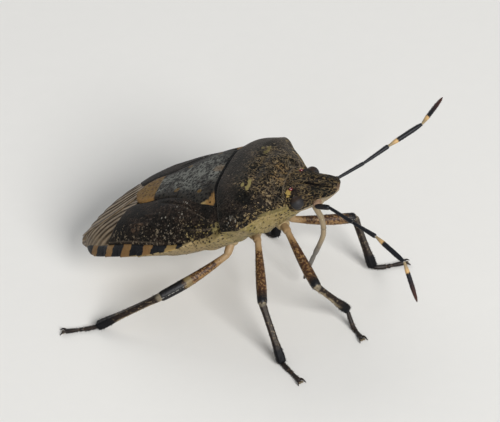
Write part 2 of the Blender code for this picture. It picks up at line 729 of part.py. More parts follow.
def leg(name, hip, course, parent):
    """Trochanter with femur, tibia and tarsus, cut off on the plane of each bend to meet face to face."""
    corners, ways, planes = joint_faces(course, to_floor(hip))
    root = corners[0] + (COXA_REACH + GAP) * ways[0]
    elbow = corners[1] + ELBOW_REACH * ways[1]
    knee = corners[2] - half_gap(ways[1], planes[2])
    thigh = spaced(elbow, knee, len(FEMUR_RADII))
    share = np.linspace(0.0, 1.0, len(FEMUR_RADII))
    thigh[:, 2] -= FEMUR_BOW * course[1][0] * np.sin(math.pi * share)
    path = np.concatenate([[root, corners[1] - TROCHANTER_TRIM * ways[0]], thigh])
    rings = tube(path, (TROCHANTER_RADIUS, TROCHANTER_RADIUS, *FEMUR_RADII), LIMB_SIDES, end=planes[2])
    add_object("femur_" + name, *loft(rings), "femur", parent)
    start = corners[2] + half_gap(ways[2], planes[2])
    end = corners[3] - half_gap(ways[2], planes[3])
    shin = spaced(start, end, len(TIBIA_RADII))
    rings = tube(shin, TIBIA_RADII, LIMB_SIDES, start=planes[2], end=planes[3])
    rings[..., 2] = np.maximum(rings[..., 2], FLOOR + TIBIA_CLEARANCE)
    add_object("tibia_" + name, *loft(rings), "tibia", parent)
    tarsus(name, corners[3], ways[3], planes[3], course[3][0], parent)


def half_gap(way, plane):
    """Step along a limb that leaves half the gap between its end face and the plane of the bend."""
    return 0.5 * GAP * way / np.dot(way, plane)


def spaced(start, end, count):
    share = np.linspace(0.0, 1.0, count)[:, None]
    return start * (1 - share) + end * share


def tarsus(name, ankle, way, plane, length, parent):
    """Foot of three lengths that runs down to the floor, flat underneath, with two claws."""
    level = FLOOR + TARSUS_HEIGHT
    shares = np.array(TARSUS_SHARES)
    swell = np.array(TARSUS_SWELL)
    drop = np.clip(1 - shares / TARSUS_DOWN_SHARE, 0.0, 1.0) ** TARSUS_DOWN_POWER
    path = ankle + length * shares[:, None] * way
    path[:, 2] = level + (ankle[2] - level) * drop
    path[0] = path[0] + half_gap(way, plane)
    rings = tube(path, TARSUS_RADIUS * swell, LIMB_SIDES, start=plane, turned=0.5)
    rings[..., 2] = np.maximum(rings[..., 2], FLOOR)
    foot = add_object("tarsus_" + name, *loft(rings), "tarsus", parent)
    claws = []
    for side in (-1, 1):
        turn = math.radians(side * CLAW_SPREAD)
        ahead = np.array(
            [
                way[0] * math.cos(turn) - way[1] * math.sin(turn),
                way[0] * math.sin(turn) + way[1] * math.cos(turn),
                0.0,
            ]
        )
        across = np.array([-way[1], way[0], 0.0])
        root = path[-1] + CLAW_SIDE_OFFSET * side * across - CLAW_ROOT_OFFSET * way
        lift = np.array([0.0, 0.0, 1.0])
        bend = root + CLAW_BEND_SHARE * CLAW_LENGTH * ahead + CLAW_ARCH * lift
        rings = tube([root, bend, root + CLAW_LENGTH * ahead - CLAW_DROP * lift], CLAW_RADII, CLAW_SIDES)
        rings[..., 2] = np.maximum(rings[..., 2], FLOOR)
        claws.append(add_object("claw", *loft(rings), None, parent))
    combine(foot, claws, "UNION")
    return foot


def main():
    for thing in list(bpy.data.objects):
        bpy.data.objects.remove(thing)
    stance = bpy.data.objects.new("stance", None)
    stance.location = (-STANCE_CENTRE_X * MM, -STANCE_CENTRE_Y * MM, -FLOOR * MM)
    bpy.context.scene.collection.objects.link(stance)
    body = bpy.data.objects.new("body_axes", None)
    body.parent = stance
    body.rotation_euler = (0.0, -math.radians(NOSE_UP), 0.0)
    bpy.context.scene.collection.objects.link(body)
    pronotum(body)
    scutellum(body)
    for side, word in ((-1, "right"), (1, "left")):
        corium(side, "corium_" + word, body)
        membrane(side, "membrane_" + word, body)
        eye(side, "eye_" + word, body)
        feeler(side, FEELER_RIGHT if side < 0 else FEELER_LEFT, "feeler_" + word, stance)
    thorax(body)
    abdomen(body)
    head(body)
    beak(body)
    for name, plan in LEGS.items():
        leg(name, plan["hip"], plan["course"], stance)


main()
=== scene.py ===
"""Looks of a shield bug, life size, that stands on its six feet on a flat floor.

Shapes are worked out in millimetres and turned into metres when a mesh is made.
Body axes: +X to the head, +Y to the insect's left, +Z to its back.  Their origin lies on the midline
between the shoulders, at the height of the pronotum's edge.  Floor axes share that origin: the body is
pitched nose up against them.  Every piece carries its place in body axes as the attribute "body".  A limb
also carries "share", the share of its length, and "facing", how far a point faces up (-1 to 1).  A plate
carries "across" and "along", its shares from edge to edge, and "inset", millimetres in from an edge.
"""

import math

import bpy
import numpy as np
from mathutils import Matrix, Vector


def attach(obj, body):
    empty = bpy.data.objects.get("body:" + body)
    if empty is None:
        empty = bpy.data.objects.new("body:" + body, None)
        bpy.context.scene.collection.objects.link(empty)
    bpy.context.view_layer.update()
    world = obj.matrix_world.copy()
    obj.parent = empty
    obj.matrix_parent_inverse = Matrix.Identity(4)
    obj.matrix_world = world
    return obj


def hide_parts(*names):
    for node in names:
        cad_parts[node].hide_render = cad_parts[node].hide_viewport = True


bl_info = {
    "name": "Shield bug",
    "version": (1, 0, 0),
    "blender": (4, 5, 0),
    "location": "3D View > Sidebar > Shield bug",
    "description": "A life-size shield bug with its wings, legs and feelers, and their finishes",
    "category": "Add Mesh",
}

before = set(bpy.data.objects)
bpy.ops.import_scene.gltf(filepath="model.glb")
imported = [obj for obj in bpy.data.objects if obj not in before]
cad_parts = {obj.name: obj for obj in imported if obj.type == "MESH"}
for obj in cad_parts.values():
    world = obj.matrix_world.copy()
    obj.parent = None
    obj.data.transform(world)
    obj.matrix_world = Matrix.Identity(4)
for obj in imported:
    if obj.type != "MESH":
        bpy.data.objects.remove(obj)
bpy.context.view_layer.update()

# Scale and stance
MM = 0.001
UP = np.array([0.0, 0.0, 1.0])
SIDES = ((-1, "right"), (1, "left"))
FLOOR = -7.8
STANCE_CENTRE_X = 0.047
STANCE_CENTRE_Y = 0.067

# Side edge of the body: distance along the body, half width
SHOULDER_REAR = (0.0, 4.64)
FRONT_ANGLE = (3.2, 2.0)
SIDE_EDGE_X = (-12.7, -12.2, -11.4, -10.2, -9.0, -7.7, -5.9, -4.1, -2.4, -0.9, 0.0, 0.95, 2.05, 2.6, 3.2, 3.6)
SIDE_EDGE_HALF = (0.4, 1.35, 2.4, 3.22, 3.75, 4.17, 4.6, 4.68, 4.55, 4.5, 4.64, 4.66, 3.4, 2.78, 2.0, 1.7)

# Height of that edge under the plates, of the bare rim behind the shoulders and of the midline of the back
EDGE_X = (-13.2, -10.2, -8.0, -5.9, -4.1, -1.2, 0.0, 1.0, 2.05, 2.6, 3.2, 3.6)
EDGE_HEIGHT = (-1.0, -0.75, -0.8, -0.85, -0.8, -0.35, 0.14, -0.03, -0.25, -0.5, -0.88, -1.0)
RIM_X = (-13.2, -11.4, -10.2, -9.0, -5.9, -4.1, -2.4)
RIM_HEIGHT = (-1.3, -0.9, -0.66, -0.5, -0.42, -0.4, -0.35)
CROWN_X = (-13.2, -12.6, -11.6, -10.0, -8.6, -7.57, -6.0, -4.0, -0.75, 0.8, 2.0, 3.0, 3.6)
CROWN_HEIGHT = (-0.99, -0.7, -0.2, 0.42, 0.84, 1.08, 1.27, 1.46, 1.66, 1.5, 0.98, 0.2, -0.2)
BACK_ROUNDING_X = (-13.2, -9.5, -7.0, -4.0, -0.7)
BACK_ROUNDING = (2.9, 3.1, 3.7, 3.5, 2.9)

# Plates of the back
FRONT_MARGIN_MID = 2.95
HIND_MARGIN_MID = -0.73
HIND_MARGIN_HALF = 1.6
HIND_MARGIN_SWEEP = 1.35
SCUTELLUM_X = (-0.35, -1.6, -2.9, -4.2, -5.4, -6.4, -7.0, -7.4, -7.66)
SCUTELLUM_HALF = (3.1, 2.84, 2.2, 1.62, 1.24, 1.22, 1.02, 0.7, 0.12)
SCUTELLUM_LIFT = 0.12
CORIUM_INNER = ((-0.3, 3.2), (-2.6, 1.85), (-4.2, 1.3), (-5.6, 1.1), (-6.8, 0.95), (-7.7, 0.85))
CORIUM_OUTER = ((0.1, 4.3), (-1.8, 4.32), (-4.0, 4.3), (-6.2, 3.95), (-8.2, 3.35), (-9.35, 2.96))
CLAVUS_LINE = ((-0.2, 4.3), (-2.0, 3.2), (-3.6, 2.35), (-5.2, 1.75))
RADIAL_VEIN = ((-0.4, 4.25), (-2.9, 3.88), (-5.0, 3.4), (-7.4, 2.65))
MEDIAN_VEIN = ((-1.6, 3.75), (-4.2, 3.0), (-6.6, 2.3))
MEMBRANE_OUTER = (
    (-9.35, 2.96), (-10.3, 2.57), (-11.0, 2.18), (-11.7, 1.74), (-12.4, 1.2), (-12.95, 0.62), (-13.16, 0.0)
)
MEMBRANE_ROOT = -7.4
MEMBRANE_SWING = 0.75
VEINS = 8
VEIN_HEIGHT = 0.05

# Underside
BELLY_X = (-12.7, -11.4, -10.0, -8.0, -5.5, -3.5, -2.5, 0.0, 1.9, 3.3)
BELLY_HEIGHT = (-1.62, -1.78, -2.0, -2.38, -2.72, -2.85, -2.82, -2.7, -2.58, -2.2)
BELLY_ROUNDING_X = (-12.7, -8.0, -6.6, -5.6, -4.5, -3.1, -2.1, -1.0, 1.0, 3.3)
BELLY_ROUNDING = (1.4, 1.4, 1.45, 2.0, 2.35, 2.4, 2.6, 2.4, 2.2, 2.0)
TRUNK_UNDER_BACK = 0.42
TRUNK_EDGE_DROP = 0.08
RIM_UNDER_WING = 0.14
RIM_THICKNESS = 0.14
THORAX_FRONT = 3.15
THORAX_REAR = -3.1
THORAX_INSET_X = (-3.1, -2.75, -2.3, -1.0, 0.0, 1.0, 3.15)
THORAX_INSET = (1.3, 0.5, 0.16, 0.12, 0.22, 0.34, 0.34)
ABDOMEN_FRONT = -1.9
ABDOMEN_REAR = -12.75
ABDOMEN_INSET_X = (-3.1, -2.6, -1.9)
ABDOMEN_INSET = (0.0, 0.16, 0.9)
SEGMENT_ENDS = (-2.3, -3.05, -4.95, -6.72, -8.28, -9.72, -11.1, -12.75)
BARS = (-4.08, -5.92, -7.7, -9.2, -10.7)
BAR_HALVES = (0.38, 0.3, 0.3, 0.25, 0.24)

# Head: stations along the body, from the neck to the tip of the clypeus
HEAD_X = (2.8, 3.2, 3.5, 3.9, 4.3, 4.7, 5.1, 5.45, 5.7, 5.86, 5.94)
HEAD_HALF = (1.6, 1.72, 1.6, 1.4, 1.25, 1.18, 1.1, 0.98, 0.8, 0.55, 0.3)
HEAD_TOP = (0.0, -0.1, -0.2, -0.36, -0.5, -0.68, -0.87, -1.03, -1.16, -1.26, -1.34)
HEAD_SIDE = (-0.9, -0.93, -0.98, -1.05, -1.1, -1.15, -1.22, -1.3, -1.36, -1.4, -1.42)
HEAD_UNDER = (-2.1, -2.2, -2.26, -2.28, -2.24, -2.14, -1.98, -1.82, -1.7, -1.6, -1.52)
HEAD_ROUNDING_X = (2.8, 4.0, 5.0, 5.94)
HEAD_ROUNDING = (2.5, 2.4, 2.1, 2.0)
HEAD_BOW = 0.3
FURROW_SIDE = 0.3
EYE = (3.7, 1.47, -0.95)
EYE_RADII = (0.42, 0.4, 0.44)
OCELLUS = (3.42, 0.96, -0.25)
OCELLUS_RADII = (0.15, 0.13, 0.11)
KNOB_RADIUS = 0.27

# Feelers: five lengths, each with its turn to the left and rise from the floor, swelling and count of hairs
FEELER_BASE = (4.56, 1.1, -1.72)
FEELER_LENGTHS = (0.95, 1.9, 1.85, 2.5, 2.6)
FEELERS = {
    "right": ((-10.7, 8.9), (-23.0, -11.2), (-23.5, -8.9), (-28.8, -18.0), (-43.1, -67.2)),
    "left": ((69.5, -8.9), (48.7, 7.1), (47.0, 14.7), (46.0, 13.6), (78.0, 5.0)),
}
FEELER_PROFILES = (
    ((0, 0.12, 0.5, 0.9, 1), (1.1, 1.5, 1.6, 1.45, 1.0)),
    ((0, 0.06, 0.5, 0.95, 1), (0.64, 0.86, 1.0, 1.08, 0.8)),
    ((0, 0.06, 0.5, 0.92, 1), (0.57, 0.85, 1.12, 1.32, 0.82)),
    ((0, 0.08, 0.3, 0.7, 0.95, 1), (0.52, 0.8, 1.36, 1.44, 1.0, 0.7)),
    ((0, 0.08, 0.3, 0.6, 0.9, 1), (0.52, 0.8, 1.28, 1.3, 0.82, 0.45)),
)
FEELER_ENDS = (0.12, 0.12, 0.12, 0.12, 0.35)
FEELER_HAIRS = (60, 160, 220, 420, 480)

# Beak, folded under the head in the midline
BEAK_X = (3.68, 3.68, 3.54, 3.19, 1.45, 0.18)
BEAK_Z = (-2.33, -3.08, -3.76, -4.48, -6.18, -7.43)
BEAK_JOINTS = (0.27, 0.52, 0.76)

# Legs: hip in body axes, then length, turn and rise from the floor of trochanter, femur, tibia and tarsus
LEGS = {
    "front_right": {
        "hip": (1.6, -0.95, -2.45),
        "course": ((1.1, -50.7, 0.1), (4.1, -46.2, -26.3), (3.6, 61.1, -56.9), (1.75, -45.5, 0.0)),
    },
    "front_left": {
        "hip": (1.6, 0.95, -2.45),
        "course": ((1.1, 230.2, -78.6), (4.1, 34.8, -17.3), (3.6, -27.5, -73.6), (2.05, 28.3, 0.0)),
    },
    "middle_right": {
        "hip": (-0.45, -1.15, -2.6),
        "course": ((1.1, -57.5, 3.8), (4.2, -70.2, -26.8), (3.8, -48.6, -57.3), (2.1, -40.0, 0.0)),
    },
    "middle_left": {
        "hip": (-0.45, 1.15, -2.6),
        "course": ((1.1, 94.6, -50.9), (4.2, 98.1, -9.0), (3.8, 242.6, -65.1), (2.1, 150.0, 0.0)),
    },
    "hind_right": {
        "hip": (-2.05, -1.2, -2.65),
        "course": ((1.1, 254.7, -44.6), (4.9, 223.9, -14.0), (5.0, 188.6, -28.8), (2.1, 200.0, 0.0)),
    },
    "hind_left": {
        "hip": (-2.05, 1.2, -2.65),
        "course": ((1.1, 120.0, -49.7), (4.9, 134.0, -15.8), (5.0, 172.0, -25.9), (2.1, 165.0, 0.0)),
    },
}
HIP_RADIUS = 0.47
FEMUR_BOW = 0.035
FEMUR_DARK = {"front": 0.86, "middle": 0.84, "hind": 0.65}
TARSUS_JOINTS = (0.42, 0.58)
CLAW_RADIUS = 0.075
LOBE_RADII = (0.1, 0.08, 0.06)
FEMUR_HAIRS = 260
TIBIA_HAIRS = 520
TARSUS_HAIRS = 420

# Swelling along a limb: shares of its length, then factors of its radius
HIP_PROFILE = ((0, 0.5, 0.8, 1), (1.1, 1.0, 0.85, 0.7))
KNOB_PROFILE = ((0, 0.5, 0.85, 1), (1.2, 1.05, 0.95, 0.8))
BEAK_PROFILE = ((0, 0.3, 0.7, 0.93, 1), (1.2, 1.1, 1.0, 0.75, 0.5))
TROCHANTER_PROFILE = ((0, 0.4, 1), (0.78, 0.8, 0.7))
FEMUR_PROFILE = ((0, 0.12, 0.35, 0.68, 0.9, 1), (0.62, 0.67, 0.87, 1.07, 1.02, 0.87))
TIBIA_PROFILE = ((0, 0.05, 0.2, 0.6, 0.9, 1), (0.95, 1.0, 0.88, 0.92, 1.22, 1.1))
TARSUS_PROFILE = (
    (0, 0.1, 0.38, 0.42, 0.5, 0.58, 0.66, 0.92, 1),
    (0.85, 1, 1.1, 0.72, 1.02, 0.7, 0.85, 1.05, 0.8),
)

# Camera: the place and the view, as seen from the body's origin in floor axes
VIEW_RIGHT = (0.9311, 0.3363, -0.1413)
VIEW_UP = (-0.0991, 0.6061, 0.7892)
VIEW_DISTANCE = 250.0
FIELD_WIDTH = 30.62
PHOTO_WIDTH = 500.0
PHOTO_HEIGHT = 422.0
AIM_PIXEL = (247.49, 186.55)
SENSOR_WIDTH = 36.0

# Lamps: what they face in millimetres and how far off they stand in metres, then the way to each as
# multiples of the view's right, up and back, and its width in metres
LIGHT_TARGET = (0.0, 0.0, 4.0)
LAMP_DISTANCE = 0.5
LAMPS = {"key_light": ((0.38, -0.02, 1.0), 0.2), "back_light": ((-0.55, 0.9, -0.55), 0.45)}
SURROUND_COLOUR = (0.93, 0.96, 1.0)

# Facets
LIMB_SIDES = 20

# Blots in plan, on both sides: middle along and across the body, then half length and half width
FRONT_BLOT = ((2.7, 0.45), (0.4, 0.36))
BARE_SHOULDER = ((0.0, 3.0), (1.5, 1.1))
YELLOW_MARK = ((1.42, 1.76), (0.12, 0.46))
YELLOW_MARK_HOLE = ((1.31, 1.74), (0.09, 0.2))
YELLOW_MARK_END = ((1.13, 1.86), (0.09, 0.18))
SHOULDER_STROKES = ((0.75, 4.25), (0.32, 0.28))
RUSTY_SPOTS = (((-3.9, 1.2), (0.2, 0.16)), ((-1.9, 1.9), (0.16, 0.14)))
BASAL_SPOT = ((-1.05, 0.0), (0.4, 0.3))
CORNER_SPOTS = (((-0.84, 2.62), (0.22, 0.46)), ((-1.2, 2.92), (0.46, 0.27)))
CORNER_PIT = ((-0.95, 2.82), (0.06, 0.06))
SPECKLED_MIDDLE = ((-3.6, 3.0), (1.7, 0.8))
RUST_STREAK = ((-6.6, 3.1), (0.5, 0.22))
CORIUM_ROOT = ((-0.3, 4.25), (0.5, 0.2))
OCELLUS_SHADE = ((3.56, 1.05), (0.32, 0.26))
OCELLUS_MARK = ((3.32, 1.22), (0.14, 0.26))

# Gloss of the shell and of plain skin
SHELL_GLOSS = 0.05
PLAIN_GLOSS = 0.5

# Small colours of the back
SHELL_PIT = (0.004, 0.0035, 0.003)
# Painted shade in the gaps between plates
GAP_SHADE = (0.003, 0.003, 0.003)
BLOT_OCHRE = (0.28, 0.18, 0.075)
EDGE_YELLOW = (0.15, 0.12, 0.05)
LIP_BROWN = (0.11, 0.085, 0.055)
# Short pale hairs with painted glints at the shoulders
HAIR_GLINT_PALE = (0.26, 0.24, 0.2)
SHEEN_TINT = (1.0, 0.88, 0.74)
NET_BLACK = (0.006, 0.006, 0.006)
BASAL_BROWN = (0.15, 0.1, 0.055)
TIP_RUST = (0.1, 0.05, 0.015)
TIP_PIT = (0.045, 0.02, 0.009)
CORNER_RUST = (0.1, 0.05, 0.02)
CORNER_BLACK = (0.02, 0.012, 0.008)
CORNER_YELLOW = (0.28, 0.2, 0.085)
FLECK_DIM = (0.085, 0.062, 0.047)
FLECK_YELLOW = (0.24, 0.18, 0.07)
RUST_BROWN = (0.09, 0.055, 0.035)
VEIN_BROWN = (0.13, 0.1, 0.07)
FILM_BROWN = (0.13, 0.095, 0.062)
FILM_LINE = (0.34, 0.26, 0.165)

# Small colours of the trunk and head
REAR_ROSY = (0.29, 0.21, 0.11)
WAX_PALE = (0.3, 0.24, 0.14)
RIM_BLACK = (0.003, 0.003, 0.004)
# Painted sheen on the black rim
RIM_PAINTED_SHEEN = (0.008, 0.009, 0.011)
BAR_RUST = (0.13, 0.06, 0.022)
BAR_YELLOW = (0.3, 0.21, 0.075)
FURROW_BLACK = (0.004, 0.003, 0.003)
LOBE_GREY = (0.014, 0.014, 0.012)
SHADE_BLACK = (0.01, 0.008, 0.008)
MARK_YELLOW = (0.33, 0.23, 0.07)
EYE_BROWN = (0.03, 0.018, 0.011)
EYE_BLACK = (0.01, 0.009, 0.01)
OCELLUS_DARK = (0.05, 0.006, 0.006)

# Small colours of the feelers, beak and legs, and of the floor
# Painted sheen on the blue-black feelers
FEELER_PAINTED_SHEEN = (0.016, 0.016, 0.018)
FEELER_END = (0.05, 0.02, 0.015)
RING_TAN = (0.5, 0.32, 0.14)
JOINT_PALE = (0.42, 0.38, 0.32)
SCAPE_BROWN = (0.1, 0.06, 0.03)
BEAK_GREY = (0.12, 0.108, 0.092)
BEAK_JOINT = (0.06, 0.04, 0.025)
BEAK_LINE = (0.08, 0.06, 0.045)
BEAK_TIP = (0.015, 0.012, 0.01)
FEMUR_PIT = (0.02, 0.013, 0.009)
CRUMB_PALE = (0.3, 0.23, 0.13)
FEMUR_RING = (0.19, 0.145, 0.068)
SPINE_SHEEN_PALE = (0.4, 0.38, 0.34)
# Pale dashes on the femur's black end: spines with a painted sheen along the ridge
CRUMB_BROWN = (0.14, 0.09, 0.05)
KNEE_PALE = (0.22, 0.18, 0.12)
KNEE_SPOT = (0.03, 0.022, 0.016)
TIBIA_PALE = (0.2, 0.17, 0.12)
TIBIA_BROWN = (0.026, 0.015, 0.01)
TIBIA_FLECK = (0.2, 0.15, 0.09)
GROOVE_PALE = (0.22, 0.2, 0.17)
TARSUS_BROWN = (0.035, 0.024, 0.018)
TARSUS_JOINT = (0.08, 0.05, 0.03)
PAD_TAN = (0.14, 0.11, 0.07)
FLOOR_GREY = (0.5, 0.5, 0.49)


# Curves and surfaces of the body

def through(x, stations, values):
    """Smooth curve through the stations: cubic pieces with slopes that never overshoot."""
    order = np.argsort(stations)
    xs = np.asarray(stations, float)[order]
    ys = np.asarray(values, float)[order]
    steps = np.diff(xs)
    rates = np.diff(ys) / steps
    both = rates[1:] * rates[:-1]
    safe = np.where(both > 0, rates[1:] + rates[:-1], 1.0)
    inner = np.where(both > 0, 2 * both / safe, 0.0)
    slopes = np.concatenate([rates[:1], inner, rates[-1:]])
    x = np.clip(np.asarray(x, float), xs[0], xs[-1])
    i = np.clip(np.searchsorted(xs, x, side="right") - 1, 0, len(xs) - 2)
    h = steps[i]
    t = (x - xs[i]) / h
    return (
        ys[i] * (1 + 2 * t) * (1 - t) ** 2
        + ys[i + 1] * t * t * (3 - 2 * t)
        + h * slopes[i] * t * (1 - t) ** 2
        + h * slopes[i + 1] * t * t * (t - 1)
    )


def on_line(line, r):
    """Point at share r of a smooth line through the given plan points."""
    points = np.asarray(line, float)
    stations = np.linspace(0.0, 1.0, len(points))
    return np.stack([through(r, stations, points[:, 0]), through(r, stations, points[:, 1])], axis=-1)


def rise(x, low, high):
    """Smooth step: 0 below low, 1 above high, three t squared less two t cubed between."""
    t = np.clip((x - low) / (high - low), 0.0, 1.0)
    return t * t * (3 - 2 * t)


def hump(x, width):
    """Bell of height 1 whose width is given at about a third of its height."""
    return np.exp(-((x / width) ** 2))


def even(count):
    """Shares from 0 to 1 that crowd towards both ends: half of one less the cosine of a half turn."""
    return 0.5 - 0.5 * np.cos(np.linspace(0.0, math.pi, count))


def half_width(x):
    """Half width of the body at x, out to its side edge."""
    return through(x, SIDE_EDGE_X, SIDE_EDGE_HALF)


def edge_height(x):
    """Height at x of the side edge under the plates."""
    return through(x, EDGE_X, EDGE_HEIGHT)


def back_height(x, y):
    """Dome of the back: the midline height falls to the edge height as a power of the width."""
    edge = edge_height(x)
    crown = through(x, CROWN_X, CROWN_HEIGHT)
    across = np.clip(np.abs(y) / half_width(x), 0.0, 1.0)
    return edge + (crown - edge) * (1 - across ** through(x, BACK_ROUNDING_X, BACK_ROUNDING))


def belly_height(x, y, half, edge):
    """Trough of the underside: from the keel up to the edge's height, as a power of the width."""
    keel = through(x, BELLY_X, BELLY_HEIGHT)
    across = np.clip(np.abs(y) / half, 0.0, 1.0)
    return keel + (edge - keel) * across ** through(x, BELLY_ROUNDING_X, BELLY_ROUNDING)


def wing_edge(x):
    """Half width of the folded wings at x: the corium's outer edge, then the membranes' edge."""
    outer = np.asarray(CORIUM_OUTER)[::-1]
    line = np.concatenate([np.asarray(MEMBRANE_OUTER)[::-1], outer[1:]])
    return np.interp(x, line[:, 0], line[:, 1])


def mirrored(point, side):
    """A point given for the left, taken to the side that it is wanted on."""
    return point[0], side * point[1], point[2]


def pitched(points, angle):
    """Points turned nose up by the angle, about the axis across the body."""
    points = np.asarray(points, float)
    c = math.cos(angle)
    s = math.sin(angle)
    x, y, z = points[..., 0], points[..., 1], points[..., 2]
    return np.stack([x * c - z * s, y, x * s + z * c], axis=-1)


def to_floor(points):
    """Body axes to floor axes."""
    return pitched(points, bpy.context.scene.shield_bug_form.nose_up)


def to_body(points):
    """Floor axes back to body axes."""
    return pitched(points, -bpy.context.scene.shield_bug_form.nose_up)


def floor_direction(turn, lift):
    """Unit vector in floor axes, from degrees of turn to the left and of rise."""
    turn = math.radians(turn)
    lift = math.radians(lift)
    return np.array([math.cos(turn) * math.cos(lift), math.sin(turn) * math.cos(lift), math.sin(lift)])


# Surfaces: points with their faces, and marks that give each point a number, before they become a mesh

def grid_faces(index):
    """Four-cornered faces between neighbours of a grid of point numbers."""
    return np.stack([index[:-1, :-1], index[1:, :-1], index[1:, 1:], index[:-1, 1:]], axis=-1).reshape(-1, 4)


def outward(surface):
    """Turns the faces round where the volume that they close comes out below zero."""
    points = surface["points"]
    volume = 0.0
    for faces in surface["faces"]:
        first = points[faces[:, 0]]
        for k in range(1, faces.shape[1] - 1):
            volume += np.einsum("ij,ij->i", first, np.cross(points[faces[:, k]], points[faces[:, k + 1]])).sum()
    if volume < 0:
        surface["faces"] = [faces[:, ::-1] for faces in surface["faces"]]
    return surface


def sleeve(rings, marks):
    """Closed skin round a row of rings: quads between rings, and a fan to the middle point at each end.

    A mark is one number, or a row or grid of them that spreads over the rings and their sides.
    """
    count, sides = rings.shape[:2]
    index = np.arange(count * sides).reshape(count, sides)
    looped = np.concatenate([index, index[:, :1]], axis=1)
    first = np.full(sides, count * sides)
    start = np.stack([first, looped[0, :-1], looped[0, 1:]], axis=1)
    end = np.stack([first + 1, looped[-1, 1:], looped[-1, :-1]], axis=1)
    ends = np.stack([rings[0].mean(0), rings[-1].mean(0)])
    values = {}
    for name, mark in marks.items():
        mark = np.broadcast_to(mark, (count, sides))
        values[name] = np.concatenate([mark.reshape(-1), [mark[0].mean(), mark[-1].mean()]])
    points = np.concatenate([rings.reshape(-1, 3), ends])
    return outward({"points": points, "faces": [grid_faces(looped), start, end], "marks": values})


def leaf(top, thickness, roundness, marks):
    """Closed thin plate: an upper and a lower grid share their border.

    Between them the thickness falls to nothing at the border as a quarter ellipse of the given width.
    """
    rows, columns = top.shape[:2]
    along = np.cumsum(np.linalg.norm(np.diff(top, axis=0, prepend=top[:1]), axis=2), axis=0)
    across = np.cumsum(np.linalg.norm(np.diff(top, axis=1, prepend=top[:, :1]), axis=2), axis=1)
    near = np.minimum(np.minimum(along, along[-1:] - along), np.minimum(across, across[:, -1:] - across))
    swell = np.sqrt(1 - (1 - np.clip(near / roundness, 0.0, 1.0)) ** 2)
    down = np.array([0.0, 0.0, -0.5])
    half = np.broadcast_to(thickness, (rows, columns))
    upper = top + (half * (1 - swell))[..., None] * down
    lower = top + (half * (1 + swell))[..., None] * down
    index = np.arange(rows * columns).reshape(rows, columns)
    inner = index.copy()
    inner[1:-1, 1:-1] = rows * columns + np.arange((rows - 2) * (columns - 2)).reshape(rows - 2, columns - 2)
    values = {}
    for name, mark in marks.items():
        mark = np.broadcast_to(mark, (rows, columns))
        values[name] = np.concatenate([mark.reshape(-1), mark[1:-1, 1:-1].reshape(-1)])
    points = np.concatenate([upper.reshape(-1, 3), lower[1:-1, 1:-1].reshape(-1, 3)])
    faces = [grid_faces(index), grid_faces(inner)[:, ::-1]]
    return outward({"points": points, "faces": faces, "marks": values})


def merged(surfaces):
    """One surface of several, each still closed by itself."""
    starts = np.cumsum([0] + [len(surface["points"]) for surface in surfaces])
    faces = []
    for start, surface in zip(starts, surfaces):
        faces += [part + start for part in surface["faces"]]
    names = surfaces[0]["marks"].keys()
    marks = {name: np.concatenate([surface["marks"][name] for surface in surfaces]) for name in names}
    return {"points": np.concatenate([s["points"] for s in surfaces]), "faces": faces, "marks": marks}


def ball(centre, radii, around, rows, marks):
    """Closed ellipsoid: rings between two poles, crowded by the cosine of the tilt."""
    tilt = np.linspace(0.5 * math.pi, -0.5 * math.pi, rows + 2)[1:-1, None]
    turn = np.linspace(0.0, 2 * math.pi, around, endpoint=False)
    flat = np.cos(tilt)
    unit = np.stack([flat * np.cos(turn), flat * np.sin(turn), np.sin(tilt) + 0 * turn], axis=-1)
    surface = sleeve(unit, marks)
    surface["points"][-2] = (0.0, 0.0, 1.0)
    surface["points"][-1] = (0.0, 0.0, -1.0)
    surface["points"] = surface["points"] * np.asarray(radii) + np.asarray(centre)
    return surface


def frames(path, guide):
    """Along, sideways and dorsal unit vectors at each point of a path, from its steps and a guide vector."""
    steps = np.gradient(np.asarray(path, float), axis=0)
    along = steps / np.linalg.norm(steps, axis=1)[:, None]
    side = np.cross(np.asarray(guide, float), along)
    side /= np.linalg.norm(side, axis=1)[:, None]
    return along, side, np.cross(along, side)


def carried(path, wide, high, guide, sides=LIMB_SIDES, shape=None, share=None):
    """Elliptic profile carried along a path, with half widths wide and high.

    shape takes the angle round the profile, 0 sideways and a quarter turn dorsal, and gives a factor.
    Without a share of their own the points carry their share of the path's length.
    """
    path = np.asarray(path, float)
    _, side, dorsal = frames(path, guide)
    angle = np.linspace(0.0, 2 * math.pi, sides, endpoint=False)
    factor = np.ones(sides) if shape is None else shape(angle)
    reach = np.broadcast_to(wide, len(path))[:, None] * np.cos(angle) * factor
    lift = np.broadcast_to(high, len(path))[:, None] * np.sin(angle) * factor
    rings = path[:, None] + reach[..., None] * side[:, None] + lift[..., None] * dorsal[:, None]
    if share is None:
        length = np.concatenate([[0.0], np.cumsum(np.linalg.norm(np.diff(path, axis=0), axis=1))])
        share = length / length[-1]
    return sleeve(rings, {"share": share[:, None], "facing": np.sin(angle)})


def stub(path, radius, guide, sides, marks):
    """Round tube along a path in floor axes, moved to body axes, whose points all carry the given marks."""
    tube = carried(path, radius, radius, guide, sides)
    tube["points"] = to_body(tube["points"])
    tube["marks"] = {name: np.full(len(tube["points"]), mark) for name, mark in marks.items()}
    return outward(tube)


def rounded(share, start, end, length):
    """Factor that closes a tube like a quarter circle over its first and last millimetres, start and end."""
    first = np.clip(share * length / start, 0.0, 1.0)
    last = np.clip((1 - share) * length / end, 0.0, 1.0)
    return np.sqrt(1 - (1 - first) ** 2) * np.sqrt(1 - (1 - last) ** 2)


def spaced(start, end, share):
    """Points on the straight line from start to end, at the given shares of it."""
    return np.asarray(start) * (1 - share)[:, None] + np.asarray(end) * share[:, None]


